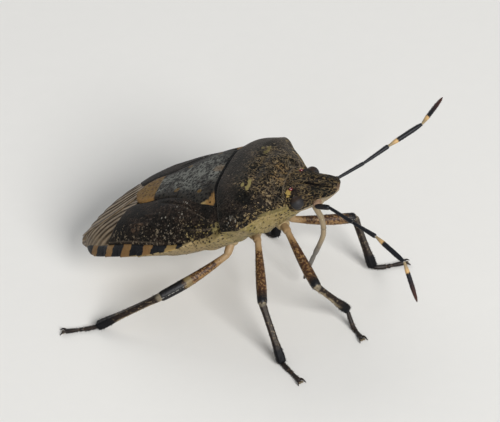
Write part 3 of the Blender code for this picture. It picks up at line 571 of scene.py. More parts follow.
def bristles(surface, count, length, radius, lean, forward, seed, keep=None):
    """Fine hairs on a surface: three-sided spikes from evenly scattered faces, leaning along forward.

    A face is drawn with a chance in step with its area, times keep of its share and facing, and a spike
    stands anywhere on it.
    """
    points = surface["points"]
    faces = surface["faces"][0]
    corners = points[faces]
    normal = np.cross(corners[:, 2] - corners[:, 0], corners[:, 3] - corners[:, 1])
    area = np.linalg.norm(normal, axis=1) + 1e-12
    normal /= area[:, None]
    marks = surface["marks"]
    chance = area
    if keep is not None:
        chance = area * keep(marks["share"][faces].mean(1), marks["facing"][faces].mean(1))
    dice = np.random.default_rng(seed)
    chosen = dice.choice(len(faces), size=count, p=chance / chance.sum())
    share = dice.random((count, 2, 1))
    lower = corners[chosen, 0] * (1 - share[:, 0]) + corners[chosen, 1] * share[:, 0]
    upper = corners[chosen, 3] * (1 - share[:, 0]) + corners[chosen, 2] * share[:, 0]
    root = lower * (1 - share[:, 1]) + upper * share[:, 1]
    stand = normal[chosen] * (1 - lean) + np.asarray(forward) * lean + 0.25 * dice.normal(size=(count, 3))
    stand /= np.linalg.norm(stand, axis=1)[:, None]
    side = np.cross(stand, normal[chosen] + 0.31)
    side /= np.linalg.norm(side, axis=1)[:, None]
    third = np.cross(stand, side)
    reach = length * dice.uniform(0.65, 1.0, (count, 1))
    base = root - 0.3 * radius * normal[chosen]
    turn = np.array([[0.0], [2.0], [4.0]]) * math.pi / 3
    ring = base[:, None] + radius * (np.cos(turn) * side[:, None] + np.sin(turn) * third[:, None])
    tip = base + reach * stand
    spikes = np.concatenate([ring, tip[:, None]], axis=1).reshape(-1, 3)
    start = 4 * np.arange(count)[:, None]
    pattern = np.array([[0, 1, 3], [1, 2, 3], [2, 0, 3], [0, 2, 1]])
    triangles = (start[:, None] + pattern[None]).reshape(-1, 3)
    marks = {name: np.repeat(mark[faces[chosen, 0]], 4) for name, mark in marks.items()}
    return outward({"points": spikes, "faces": [triangles], "marks": marks})


def make_piece(name, surface, material, nodes=(), axes="body"):
    """Mesh object in the row's frame, in metres, that rides on the model and replaces the given nodes.

    axes tells whether the surface's points are in body axes or in floor axes.
    """
    points = surface["points"]
    body = points if axes == "body" else to_body(points)
    floor = to_floor(points) if axes == "body" else points
    row = (floor - np.array([STANCE_CENTRE_X, STANCE_CENTRE_Y, FLOOR])) * MM
    mesh = bpy.data.meshes.new(name)
    sizes = np.concatenate([np.full(len(faces), faces.shape[1]) for faces in surface["faces"]])
    corners = np.concatenate([faces.reshape(-1) for faces in surface["faces"]])
    mesh.vertices.add(len(row))
    mesh.loops.add(len(corners))
    mesh.polygons.add(len(sizes))
    mesh.vertices.foreach_set("co", row.astype(np.float32).reshape(-1))
    mesh.loops.foreach_set("vertex_index", corners.astype(np.int32))
    mesh.polygons.foreach_set("loop_start", (np.cumsum(sizes) - sizes).astype(np.int32))
    place = mesh.attributes.new("body", "FLOAT_VECTOR", "POINT")
    place.data.foreach_set("vector", body.astype(np.float32).reshape(-1))
    for mark, values in surface["marks"].items():
        mesh.attributes.new(mark, "FLOAT", "POINT").data.foreach_set("value", values.astype(np.float32))
    mesh.update(calc_edges=True)
    mesh.validate()
    mesh.shade_smooth()
    mesh.materials.append(material)
    piece = bpy.data.objects.new(name, mesh)
    bpy.context.scene.collection.objects.link(piece)
    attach(piece, "root")
    if nodes:
        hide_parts(*nodes)
    return piece


# Back

def head_height(x, y):
    """Top of the head: it falls from the midline to the side line as a superellipse of the width."""
    top = through(x, HEAD_X, HEAD_TOP)
    side = through(x, HEAD_X, HEAD_SIDE)
    power = through(x, HEAD_ROUNDING_X, HEAD_ROUNDING)
    across = np.clip(np.abs(y) / through(x, HEAD_X, HEAD_HALF), 0.0, 1.0)
    return side + (top - side) * (1 - across**power) ** (1 / power)


def pronotum_surface(form):
    """Shield behind the head: its lines run from the hollowed front edge to the hind edge, on the dome.

    The front edge bends down to the head, and a thin roll follows it.  The relief adds two low swellings
    behind the head, a groove behind them, a raised thin margin and a hind edge that bends down.
    """
    r = even(130)[:, None]
    s = 2 * even(220) - 1
    side = np.abs(s)
    front_x = FRONT_MARGIN_MID + 0.12 + (FRONT_ANGLE[0] - FRONT_MARGIN_MID - 0.12) * side**2
    wide = SHOULDER_REAR[1]
    slant = np.clip((side * wide - HIND_MARGIN_HALF) / (wide - HIND_MARGIN_HALF), 0.0, 1.0)
    hind_x = HIND_MARGIN_MID + (SHOULDER_REAR[0] - HIND_MARGIN_MID) * slant**HIND_MARGIN_SWEEP
    x = front_x * (1 - r) + hind_x * r
    y = s * half_width(FRONT_ANGLE[0] * (1 - r) + SHOULDER_REAR[0] * r)
    across = np.abs(y) / half_width(x)
    swelling = 0.1 * np.exp(-((((x - 2.25) / 0.42) ** 2 + ((np.abs(y) - 0.95) / 0.62) ** 2) ** 1.4))
    groove = -0.07 * hump(x - 1.6, 0.2) * (1 - rise(np.abs(y), 1.6, 2.6))
    rim = 0.05 * rise(across, 0.94, 0.985) * rise(x, 0.2, 0.9)
    lobe = 0.04 * np.exp(-(((x - 0.45) / 0.6) ** 2) - ((np.abs(y) - 3.5) / 0.55) ** 2)
    bend = -0.1 * rise(hind_x - x, -0.22, 0.0) * (1 - rise(np.abs(y), 3.2, 4.2))
    z = back_height(x, y) + 0.05 + swelling + groove + rim + lobe + bend
    near_front = rise(front_x - x, 0.75, 0.0) * (1 - rise(np.abs(y), 1.45, 1.85))
    z = z + (np.minimum(head_height(x, y) + 0.1, z) - z) * near_front
    z = z + 0.05 * hump(front_x - x - 0.1, 0.07) * (1 - rise(np.abs(y), 1.5, 1.8))
    top = np.stack([x, y, z], axis=-1)
    marks = {"across": across, "along": r, "inset": front_x - x}
    return leaf(top, form.plate_thickness / MM * 1.6, 0.14, marks)


def scutellum_surface(form):
    """Long triangle behind the pronotum with a rounded tip, raised on the dome, with a low midline."""
    x = (SCUTELLUM_X[0] + (SCUTELLUM_X[-1] - SCUTELLUM_X[0]) * even(120))[:, None]
    s = 2 * even(80) - 1
    half = through(x, SCUTELLUM_X, SCUTELLUM_HALF)
    y = half * s
    x = x + np.zeros_like(y)
    lift = SCUTELLUM_LIFT * (1 - np.abs(s) ** 5) * rise(-x, 0.3, 1.6) + 0.03 * hump(y, 0.5) * rise(-x, 1.0, 3.0)
    pit = -0.12 * np.exp(-(((x + 1.0) / 0.16) ** 2) - ((np.abs(y) - 2.3) / 0.2) ** 2)
    step = -0.09 * rise(x, -1.0, -0.5)
    top = np.stack([x, y, back_height(x, y) + lift + pit + step], axis=-1)
    marks = {"across": np.abs(s), "inset": half - np.abs(y)}
    return leaf(top, form.plate_thickness / MM * 1.6, 0.12, marks)


def corium_surface(side, form):
    """Leathery wing part: lines from the edge under the scutellum out to the costal edge, on the dome.

    Grooves and low ridges follow the clavus line and the veins, each a bell across the given line.
    The marks "vein" and "clavus" are millimetres to the radial vein and to the clavus line.
    """
    r = even(110)
    across = even(60)
    s = across[None, :, None]
    plan = on_line(CORIUM_INNER, r)[:, None] * (1 - s) + on_line(CORIUM_OUTER, r)[:, None] * s
    x = plan[..., 0]
    y = plan[..., 1]
    clavus = np.abs(y - through(x, *np.transpose(CLAVUS_LINE)))
    radial = np.abs(y - through(x, *np.transpose(RADIAL_VEIN)))
    median = np.abs(y - through(x, *np.transpose(MEDIAN_VEIN)))
    relief = -0.07 * hump(clavus, 0.09) * rise(-x, 0.5, 1.2) * (1 - rise(-x, 4.6, 5.2))
    relief += 0.045 * hump(radial, 0.08) * (1 - rise(-x, 6.2, 7.4))
    relief += 0.03 * hump(median, 0.09) * rise(-x, 1.6, 2.2) * (1 - rise(-x, 5.8, 6.6))
    relief += 0.04 * rise(across, 0.965, 0.985)
    tuck = -0.1 * (1 - rise(across, 0.0, 0.2)) - 0.12 * rise(x, -0.75, -0.2)
    top = np.stack([x, y * side, back_height(x, y) + relief + tuck], axis=-1)
    marks = {"across": across, "along": r[:, None], "vein": radial, "clavus": clavus}
    return leaf(top, form.plate_thickness / MM * 1.8, 0.12, marks)


def seam(x):
    """Inner edge of the overlapping membrane: it swings over to the right and back at the tip."""
    share = np.clip((MEMBRANE_ROOT - x) / (MEMBRANE_ROOT - MEMBRANE_OUTER[-1][0]), 0.0, 1.0)
    return -MEMBRANE_SWING * np.sin(math.pi * share)


def membrane_surface(side, form):
    """Thin wing part: rays from the root under the scutellum's tip out to the edge, with a ridge on each vein.

    The left one lies over the right one, which reaches on beneath it.  The mark "ray" counts the veins.
    """
    r = even(90)[:, None]
    across = even(150)
    root = np.stack([np.full(150, MEMBRANE_ROOT), 0 * across], axis=-1)
    inner_root = rise(across, 0.0, 0.3)[:, None]
    rear_out = np.asarray(MEMBRANE_OUTER[0]) + np.array([0.3, -0.05])
    shoulder = np.array([CORIUM_INNER[-1][0] + 0.35, 0.65])
    far = np.clip((across - 0.3) / 0.7, 0.0, 1.0)[:, None]
    near = root * (1 - inner_root) + shoulder * inner_root * (1 - far) + rear_out * far * inner_root
    edge = on_line(MEMBRANE_OUTER, 1 - across)
    x = near[:, 0] * (1 - r) + edge[:, 0] * r
    y = near[:, 1] * (1 - r) + edge[:, 1] * r
    inner = side * seam(x) if side > 0 else 0.9 * seam(x) * (1 - r**6)
    y = inner + y * (1 - inner / CORIUM_OUTER[-1][1])
    vein = (across * VEINS) % 1.0 - 0.5
    ridge = VEIN_HEIGHT * hump(vein, 0.13) * rise(across, 0.06, 0.12) * rise(1 - across, 0.03, 0.1)
    ridge = ridge * rise(r, 0.02, 0.2) * (1 - rise(r, 0.86, 0.98))
    wave = 0.012 * np.sin(9 * r + 5 * across) * rise(r, 0.2, 0.5)
    under = 0.05 if side > 0 else 0.13
    top = np.stack([x, y * side, back_height(x, np.abs(y)) - under + ridge + wave], axis=-1)
    return leaf(top, form.plate_thickness / MM * 0.5, 0.05, {"along": r, "ray": across * VEINS})


# Underside

def trunk_rings(x, half, rim_inner, crease):
    """Sections of the trunk: over the top below the plates, round the side edge and back along the belly.

    Where rim_inner gives the wings' half width, the top outside it is a rim that slopes from below the
    wing's edge out to the rim's height.  crease takes x and the share of the width, and presses the belly in.
    """
    s = 2 * even(60) - 1
    y_top = half[:, None] * s
    under = back_height(x[:, None], y_top) - TRUNK_UNDER_BACK
    if rim_inner is None:
        z_top = under
        edge = z_top[:, :1] - TRUNK_EDGE_DROP
    else:
        rim = through(x, RIM_X, RIM_HEIGHT)[:, None]
        inner = rim_inner[:, None]
        foot = np.maximum(back_height(x[:, None], inner) - RIM_UNDER_WING, rim)
        slope = np.clip((np.abs(y_top) - inner) / (half[:, None] - inner), 0.0, 1.0)
        inside = rise(np.abs(y_top) - inner, -0.25, -0.1)
        z_top = under * (1 - inside) + (foot + (rim - foot) * slope**1.3) * inside
        edge = rim - RIM_THICKNESS
    low = -s[1:-1]
    y_low = half[:, None] * low
    z_low = belly_height(x[:, None], y_low, half[:, None], edge) - crease(x[:, None], np.abs(low) + 0 * y_low)
    y = np.concatenate([y_top, y_low], axis=1)
    z = np.concatenate([z_top, z_low], axis=1)
    return np.stack([x[:, None] + 0 * y, y, z], axis=-1)


def thorax_surface():
    """Front part of the trunk, with the sutures of the side plates and the six hips.

    The mark "hip" is 1 on the hips and 0 elsewhere.
    """
    x = THORAX_FRONT + (THORAX_REAR - THORAX_FRONT) * even(120)
    half = half_width(x) - through(x, THORAX_INSET_X, THORAX_INSET)

    def crease(x, share):
        lines = hump(x - 1.0 - 0.25 * share, 0.07) + hump(x + 0.9 - 0.3 * share, 0.07)
        lines = lines + 0.7 * hump(x + 2.2 + 0.2 * share, 0.06)
        keel = 0.06 * hump(share, 0.1)
        pore = 0.05 * np.exp(-(((x + 1.3) / 0.16) ** 2) - ((share - 0.78) / 0.03) ** 2)
        return 0.09 * lines * rise(share, 0.25, 0.4) - keel + pore

    parts = [sleeve(trunk_rings(x, half, None, crease), {"hip": 0.0})]
    for plan in LEGS.values():
        centre = to_floor(plan["hip"])
        ahead = floor_direction(*plan["course"][0][1:])
        share = even(24)
        path = spaced(centre - 0.62 * ahead, centre + 0.52 * ahead, share)
        radius = HIP_RADIUS * through(share, *HIP_PROFILE) * rounded(share, 0.2, 0.24, 1.14)
        parts.append(stub(path, radius, (0.3, 0.2, 0.9), 24, {"hip": 1.0}))
    return merged(parts)


def abdomen_surface():
    """Rear part of the trunk: a notched rim stands outside the wings, and rings are pressed into the belly.

    near is the distance to the nearest segment's end, and past the distance to the next end in front.
    """
    x = ABDOMEN_FRONT + (ABDOMEN_REAR - ABDOMEN_FRONT) * np.linspace(0.0, 1.0, 260)
    ends = np.asarray(SEGMENT_ENDS)
    near = np.abs(x[:, None] - ends).min(1)
    past = ends[None, :-1] - x[:, None]
    past = np.where(past >= 0, past, np.inf).min(1)
    half = half_width(x) - 0.05 * hump(near, 0.08) - 0.05 * (1 - rise(past, 0.0, 1.4))
    half = np.maximum(half - through(x, ABDOMEN_INSET_X, ABDOMEN_INSET), 0.25)
    inner = np.minimum(wing_edge(x), half - 0.1)

    def crease(x, share):
        line = np.abs(x[..., None] - ends[1:] - 0.12 * share[..., None] ** 2).min(-1)
        spiracle = np.hypot(np.abs(x[..., None] - np.asarray(BARS)).min(-1), (share - 0.74) * 4.2)
        groove = 0.05 * hump(share, 0.07) * rise(x, -9.5, -5.0)
        return 0.035 * hump(line, 0.05) + 0.05 * hump(spiracle, 0.09) + groove

    return sleeve(trunk_rings(x, half, inner, crease), {"hip": 0.0})


# Head, eyes, feelers and beak

def head_surface():
    """Flattened cone with a raised clypeus between two furrows, and thin side lobes.

    Above, each section is a superellipse, and below it grows square-edged towards the tip.
    Furrows, rims and the clypeus are bells across the width.  The mark "up" runs from -1 below to 1 above,
    and "knob" is 1 on the two knobs that carry the feelers.
    """
    share = even(150)
    tip = HEAD_X[-1] + 0.03
    x = HEAD_X[0] + (tip - HEAD_X[0]) * share
    half, top, side, under = (
        through(x, HEAD_X, row)[:, None] for row in (HEAD_HALF, HEAD_TOP, HEAD_SIDE, HEAD_UNDER)
    )
    close = np.sqrt(np.clip((tip - x) / 0.1, 0.0, 1.0))[:, None]
    half = half * (0.35 + 0.65 * close) * rise(close, -0.4, 0.6)
    forward = share[:, None]
    angle = np.linspace(0.0, 2 * math.pi, 140, endpoint=False)
    up = np.sin(angle)
    power = 2 / through(x, HEAD_ROUNDING_X, HEAD_ROUNDING)[:, None]
    square = 2.0 - np.clip(forward * 1.6, 0.0, 1.0)
    flank = np.sign(np.cos(angle))
    upper_y = flank * np.abs(np.cos(angle)) ** power
    lower_y = flank * np.clip(1 - np.abs(up) ** square, 0, 1) ** (1 / square)
    y = half * np.where(up >= 0, upper_y, lower_y)
    z = side + np.where(up >= 0, (top - side) * np.abs(up) ** power, (side - under) * up) * close
    wide = np.abs(y)
    upper = rise(up, 0.0, 0.3) * rise(forward, 0.16, 0.32) * close
    clypeus_half = FURROW_SIDE * (1 - 0.15 * rise(forward, 0.3, 0.9))
    relief = 0.06 * (1 - rise(wide, clypeus_half - 0.06, clypeus_half)) * rise(forward, 0.24, 0.4)
    relief -= 0.075 * hump(wide - clypeus_half - 0.02, 0.04) * rise(forward, 0.24, 0.36)
    relief += 0.05 * hump(wide - half * 0.55, 0.2)
    relief += 0.05 * hump(half - wide, 0.07) * rise(forward, 0.4, 0.5)
    relief -= 0.05 * hump(half - wide - 0.22, 0.12) * rise(forward, 0.4, 0.5)
    z = z + relief * upper
    ridge = 0.22 * hump(wide - 0.42, 0.09) * rise(-up, 0.5, 0.8)
    z = z - ridge * rise(forward, 0.3, 0.42) * (1 - rise(forward, 0.86, 1.0))
    bow = HEAD_BOW * np.clip(1.1 - forward, 0, 1) ** 2 * (y / FRONT_ANGLE[1]) ** 2 * rise(forward, 0.0, 0.25)
    rings = np.stack([x[:, None] + bow, y, z], axis=-1)
    parts = [sleeve(rings, {"up": up, "knob": 0.0})]
    for turn, word in SIDES:
        base = to_floor(mirrored(FEELER_BASE, turn))
        ahead = floor_direction(*FEELERS[word][0])
        root = base - to_floor((0.3, turn * 0.66, -0.2))
        along = even(26)
        path = spaced(root, base + 0.06 * ahead, along)
        path += (np.sin(math.pi * along) * 0.1)[:, None] * ahead
        radius = KNOB_RADIUS * through(along, *KNOB_PROFILE) * rounded(along, 0.1, 0.12, 0.9)
        parts.append(stub(path, radius, (0.2, 0.3, 0.9), 28, {"up": -1.0, "knob": 1.0}))
    return merged(parts)


def feeler_surface(side, course, form):
    """Five lengths, each a tube that swells past a narrow neck, with fine hairs that grow denser outwards.

    The mark "share" of length number i, counted from 0, runs from i to i + 1.
    """
    point = to_floor(mirrored(FEELER_BASE, side))
    radius = form.feeler_radius / MM
    hair = form.hair_length / MM * 0.36
    parts = []
    rows = zip(FEELER_LENGTHS, course, FEELER_PROFILES, FEELER_ENDS, FEELER_HAIRS)
    for i, (length, way, profile, end, hairs) in enumerate(rows):
        ahead = floor_direction(*way)
        share = even(48)
        path = spaced(point - 0.08 * ahead, point + (length + 0.04) * ahead, share)
        width = radius * through(share, *profile) * rounded(share, 0.12, end, length)
        part = carried(path, width, width, UP, share=i + share * 0.999)
        parts += [part, bristles(part, hairs, hair, form.hair_radius / MM, 0.55, ahead, 11 * i + 3 + side)]
        point = point + length * ahead
    return merged(parts)


def beak_surface(form):
    """Four lengths from under the head down and back between the legs, grooved along the front."""
    stations = np.linspace(0.0, 1.0, len(BEAK_X))
    share = np.linspace(0.0, 1.0, 150)
    path = np.stack([through(share, stations, BEAK_X), 0 * share, through(share, stations, BEAK_Z)], axis=-1)
    radius = form.beak_radius / MM * through(share, *BEAK_PROFILE)
    for joint in BEAK_JOINTS:
        radius = radius * (1 - 0.2 * hump(share - joint, 0.012) + 0.08 * hump(share - joint + 0.03, 0.02))
    radius = radius * rounded(share, 0.1, 0.14, 6.4)
    return carried(path, radius, radius, (0, 1, 0), 28, lambda turn: 1 - 0.1 * hump(turn - math.pi, 0.35))


# Legs

def femur_surface(corners, ways, length, dark, seed, form):
    """Trochanter and femur, which swells past the middle and bows down, with fine hairs.

    The mark "dark" is the share of the length at which the black of the end begins.
    """
    radius = form.femur_radius / MM
    share = even(30)
    path = spaced(corners[0] + 0.3 * ways[0], corners[1] + 0.12 * ways[0], share)
    size = radius * through(share, *TROCHANTER_PROFILE) * rounded(share, 0.15, 0.25, 0.9)
    trochanter = carried(path, size, size, (0.36, 0.48, 0.8), share=0 * share)
    share = even(80)
    path = spaced(corners[1] - 0.22 * ways[1], corners[2] + 0.16 * ways[1], share)
    path[:, 2] -= FEMUR_BOW * length * np.sin(math.pi * share)
    size = radius * through(share, *FEMUR_PROFILE) * rounded(share, 0.3, 0.28, length)
    thigh = carried(path, size * 0.92, size, UP, 28)
    length_of_hair = form.hair_length / MM * 0.6
    hair = bristles(thigh, FEMUR_HAIRS, length_of_hair, form.hair_radius / MM, 0.6, ways[1], seed + 31)
    surface = merged([trochanter, thigh, hair])
    surface["marks"]["dark"] = np.full(len(surface["points"]), dark)
    return surface


def prism(angle):
    """Factor of a four-edged section with a groove along its back."""
    return 1 - 0.14 * hump(angle - 0.5 * math.pi, 0.3) + 0.07 * np.cos(4 * (angle - 0.25 * math.pi))


def tibia_surface(corners, ways, length, seed, form):
    """Rounded prism that widens to its end, with hairs that grow denser towards it."""
    share = even(90)
    path = spaced(corners[2] - 0.1 * ways[2], corners[3] + 0.04 * ways[2], share)
    radius = form.tibia_radius / MM
    size = radius * through(share, *TIBIA_PROFILE) * rounded(share, 0.2, 0.14, length)
    shin = carried(path, size, size * 1.04, UP, 28, prism)
    hair = bristles(
        shin, TIBIA_HAIRS, form.hair_length / MM, form.hair_radius / MM, 0.6, ways[2], seed + 57,
        lambda share, facing: 0.25 + rise(share, 0.3, 1.0) * 1.5,
    )
    return merged([shin, hair])


def tarsus_surface(ankle, way, length, seed, form):
    """Three pads that come down to the floor and lie on it, with hairs, two claws and two soft lobes.

    The mark "share" is 1 on the claws and 2 on the lobes.
    """
    foot = form.tarsus_radius / MM
    level = FLOOR + foot * 0.92
    share = np.linspace(0.0, 1.0, 120)
    drop = np.clip(1 - share / TARSUS_JOINTS[0], 0.0, 1.0) ** 1.7
    path = ankle + (length * share)[:, None] * way
    path[:, 2] = level + (ankle[2] - level) * drop
    size = foot * through(share, *TARSUS_PROFILE) * rounded(share, 0.12, 0.12, length)
    pads = carried(path, size, size, UP, 24)
    hair = bristles(
        pads, TARSUS_HAIRS, form.hair_length / MM * 0.8, form.hair_radius / MM, 0.5, way * 0.6 - UP * 0.7,
        seed + 91, lambda share, facing: 0.3 + (facing < 0),
    )
    parts = [pads, hair]
    across = np.array([-way[1], way[0], 0.0])
    tip = path[-1]
    share = even(26)
    reach = -0.12 + 0.42 * share
    arch = 0.1 * np.sin(math.pi * share) - (level - FLOOR - 0.03) * share**2
    size = CLAW_RADIUS * (1 - share) ** 0.7 + 0.012
    for side, _ in SIDES:
        spread = side * (0.06 + 0.2 * share**0.8)
        hook = tip + reach[:, None] * way + spread[:, None] * across + arch[:, None] * UP
        parts.append(carried(hook, size, size, UP, 12, share=1 + 0 * share))
        centre = tip + 0.12 * way + side * 0.08 * across - 0.05 * UP
        parts.append(ball(centre, LOBE_RADII, 14, 8, {"share": 2.0, "facing": 0.0}))
    return merged(parts)


def leg_surfaces(name, form):
    """Femur with its trochanter, tibia and tarsus of one leg, each a surface in floor axes."""
    course = LEGS[name]["course"]
    ways = [floor_direction(turn, lift) for _, turn, lift in course]
    lengths = [length for length, _, _ in course]
    corners = [to_floor(LEGS[name]["hip"])]
    for length, way in zip(lengths, ways):
        corners.append(corners[-1] + length * way)
    seed = sorted(LEGS).index(name)
    dark = FEMUR_DARK[name.split("_")[0]]
    femur = femur_surface(corners, ways, lengths[1], dark, seed, form)
    tibia = tibia_surface(corners, ways, lengths[2], seed, form)
    tarsus = tarsus_surface(corners[3], ways[3], lengths[3], seed, form)
    for part in (tibia, tarsus):
        part["points"][:, 2] = np.maximum(part["points"][:, 2], FLOOR)
    return femur, tibia, tarsus


# Nodes

class Value:
    """Output of a node.  Arithmetic on it adds the nodes that work the result out."""

    def __init__(self, nodes, entry):
        self.nodes = nodes
        self.entry = entry

    def __add__(self, other):
        return self.nodes.math("ADD", self, other)

    def __sub__(self, other):
        return self.nodes.math("SUBTRACT", self, other)

    def __mul__(self, other):
        return self.nodes.math("MULTIPLY", self, other)

    def __truediv__(self, other):
        return self.nodes.math("DIVIDE", self, other)

    def __or__(self, other):
        """Larger of the two, which joins two masks."""
        return self.nodes.math("MAXIMUM", self, other)

    def __invert__(self):
        """One less the value, which turns a mask round."""
        return self.nodes.math("SUBTRACT", 1.0, self)

    def __abs__(self):
        return self.nodes.math("ABSOLUTE", self)

    def fraction(self):
        """What is left of the value above its whole number."""
        return self.nodes.math("FRACT", self)

    def step(self, low, high):
        """Smooth step from 0 at low to 1 at high, where low may lie above high."""
        span = {"Value": self, "From Min": low, "From Max": high, "To Min": 0.0, "To Max": 1.0}
        return self.nodes.made("ShaderNodeMapRange", span, interpolation_type="SMOOTHSTEP")

    def scaled(self, factor):
        """A vector or colour times one value, or part by part times three numbers."""
        if isinstance(factor, tuple):
            return self.nodes.made("ShaderNodeVectorMath", {0: self, 1: factor}, operation="MULTIPLY")
        return self.nodes.made("ShaderNodeVectorMath", {0: self, "Scale": factor}, operation="SCALE")


def joined(masks):
    """Largest of several masks."""
    whole, *others = masks
    for mask in others:
        whole = whole | mask
    return whole


class Nodes:
    """Adds nodes to a tree and joins them.

    What goes into a node is a Value, a number, a vector or a colour.  Textures lie on self.vector.
    """

    def __init__(self, tree):
        self.tree = tree
        self.vector = None

    def put(self, entry, value):
        """Links a Value to an input, or sets the input, where a colour gets its fourth part."""
        if isinstance(value, Value):
            self.tree.links.new(value.entry, entry)
        elif entry.type == "RGBA":
            entry.default_value = (*value[:3], 1.0)
        else:
            entry.default_value = value

    def add(self, kind, inputs=(), **settings):
        node = self.tree.nodes.new(kind)
        for name, value in settings.items():
            setattr(node, name, value)
        for key, value in dict(inputs).items():
            self.put(node.inputs[key], value)
        return node

    def made(self, kind, inputs=(), output=0, **settings):
        """One output of a new node, as a Value."""
        return Value(self, self.add(kind, inputs, **settings).outputs[output])

    def math(self, operation, first, second=0.0):
        return self.made("ShaderNodeMath", {0: first, 1: second}, operation=operation)

    def mix(self, share, first, second):
        """Colour between the first at share 0 and the second at share 1."""
        return self.made("ShaderNodeMix", {0: share, 6: first, 7: second}, 2, data_type="RGBA")

    def layers(self, colour, *coats):
        """Coats of paint laid over a colour in turn, each given by its mask and its own colour."""
        for mask, paint in coats:
            colour = self.mix(mask, colour, paint)
        return colour

    def noise(self, scale, detail=3.0, roughness=0.55, vector=None):
        settings = {"Vector": vector or self.vector, "Scale": scale, "Detail": detail, "Roughness": roughness}
        return self.made("ShaderNodeTexNoise", settings)

    def wobble(self, scale, reach):
        """Noise that swings about 0 by about the given reach."""
        return self.noise(scale, 2.0) * (2 * reach) - reach

    def cells(self, scale):
        """Distance to the nearest of points strewn at the given scale."""
        settings = {"Vector": self.vector, "Scale": scale}
        return self.made("ShaderNodeTexVoronoi", settings, "Distance", feature="F1")

    def group(self, name, **inputs):
        """Outputs of a shared group by their names; its inputs are given with _ for a space."""
        node = self.add("ShaderNodeGroup", node_tree=bpy.data.node_groups[name])
        if "Vector" in node.inputs:
            inputs.setdefault("Vector", self.vector)
        for key, value in inputs.items():
            self.put(node.inputs[key.replace("_", " ")], value)
        return {entry.name: Value(self, entry) for entry in node.outputs}

    def pits(self, scale, size):
        return self.group("Punctures", Scale=scale, Size=size)

    def flecks(self, scale, amount, softness):
        return self.group("Flecks", Scale=scale, Amount=amount, Softness=softness)["Mask"]

    def band(self, value, centre, half_width, softness):
        return self.group("Band", Value=value, Centre=centre, Half_Width=half_width, Softness=softness)["Mask"]


class Finish(Nodes):
    """Nodes of one material.  Its textures lie on the attribute "body", or else on the object's coordinates."""

    def __init__(self, name, on_body=True):
        self.material = bpy.data.materials.new(name)
        self.material.use_nodes = True
        super().__init__(self.material.node_tree)
        if on_body:
            self.vector = self.attribute("body", "Vector")
            parts = self.add("ShaderNodeSeparateXYZ", {0: self.vector}).outputs
            self.x, self.y, self.z = (Value(self, part) for part in parts)
        else:
            self.vector = self.made("ShaderNodeTexCoord", output="Object")

    def attribute(self, name, output):
        return self.made("ShaderNodeAttribute", (), output, attribute_type="GEOMETRY", attribute_name=name)

    def marks(self, *names):
        """Numbers that the piece carries under these names."""
        return [self.attribute(name, "Fac") for name in names]

    def spot(self, blot, wobble=0.0):
        """Mask of a blot in plan, on both sides: 1 inside an ellipse whose outline is moved by the wobble."""
        (middle_x, middle_y), (half_length, half_width) = blot
        u = (self.x - middle_x) / half_length
        v = (abs(self.y) - middle_y) / half_width
        return (self.math("SQRT", u * u + v * v) + wobble).step(1.2, 0.8)

    def shell(self, dark, warm, fleck, amount, fleck_scale, **others):
        return self.group(
            "Mottled Shell", Dark=dark, Warm=warm, Fleck=fleck, Amount=amount, Fleck_Scale=fleck_scale, **others
        )

    def done(self, colour, roughness, height, bump, gloss=SHELL_GLOSS, **others):
        """Joins colour, roughness and a bump to the shader, and hands back the material.

        bump holds its strength and its depth in millimetres, and others are more inputs of the shader.
        """
        relief = {"Height": height, "Strength": bump[0], "Distance": bump[1] * MM}
        shader = self.tree.nodes["Principled BSDF"]
        self.put(shader.inputs["Base Color"], colour)
        self.put(shader.inputs["Roughness"], roughness)
        self.put(shader.inputs["Normal"], self.made("ShaderNodeBump", relief))
        self.put(shader.inputs["Specular IOR Level"], gloss)
        for name, value in others.items():
            self.put(shader.inputs[name.replace("_", " ")], value)
        return self.material


# Node groups that several materials share

def new_group(name, inputs, outputs):
    """Group with its nodes, its given values and a function that puts the results out.

    An input's default tells its kind: None for a vector, three numbers for a colour, one for a value.
    """
    group = bpy.data.node_groups.new(name, "ShaderNodeTree")
    kinds = {type(None): "NodeSocketVector", tuple: "NodeSocketColor", float: "NodeSocketFloat"}
    for entry, default in inputs.items():
        made = group.interface.new_socket(name=entry, in_out="INPUT", socket_type=kinds[type(default)])
        if default is not None:
            made.default_value = (*default, 1.0) if isinstance(default, tuple) else default
    for entry in outputs:
        kind = kinds[tuple if entry == "Color" else float]
        group.interface.new_socket(name=entry, in_out="OUTPUT", socket_type=kind)
    nodes = Nodes(group)
    given = {entry.name: Value(nodes, entry) for entry in nodes.add("NodeGroupInput").outputs if entry.name}
    nodes.vector = given.get("Vector")
    end = nodes.add("NodeGroupOutput")

    def put_out(**results):
        for key, value in results.items():
            nodes.put(end.inputs[key], value)

    return nodes, given, put_out


def build_pits():
    """Round punctures: cells of the given scale, dark where the distance to the cell's point is below size."""
    inputs = {"Vector": None, "Scale": 6.0, "Size": 0.3}
    nodes, given, put_out = new_group("Punctures", inputs, ("Mask", "Height"))
    size = given["Size"]
    distance = nodes.cells(given["Scale"])
    put_out(Mask=distance.step(size, size * 0.6), Height=distance.step(0.0, size))


def build_flecks():
    """Irregular flecks: fine and coarse noise added up and cut at a level set by the wanted amount."""
    inputs = {"Vector": None, "Scale": 4.0, "Amount": 0.3, "Softness": 0.06}
    nodes, given, put_out = new_group("Flecks", inputs, ("Mask",))
    coarse = nodes.noise(given["Scale"], 1.0, 0.5)
    fine = nodes.noise(given["Scale"] * 2.3, 2.0, 0.6)
    span = {"Value": given["Amount"], "To Min": 0.72, "To Max": 0.34}
    level = nodes.made("ShaderNodeMapRange", span, clamp=False)
    put_out(Mask=(coarse * 0.5 + fine * 0.5).step(level, level + given["Softness"]))


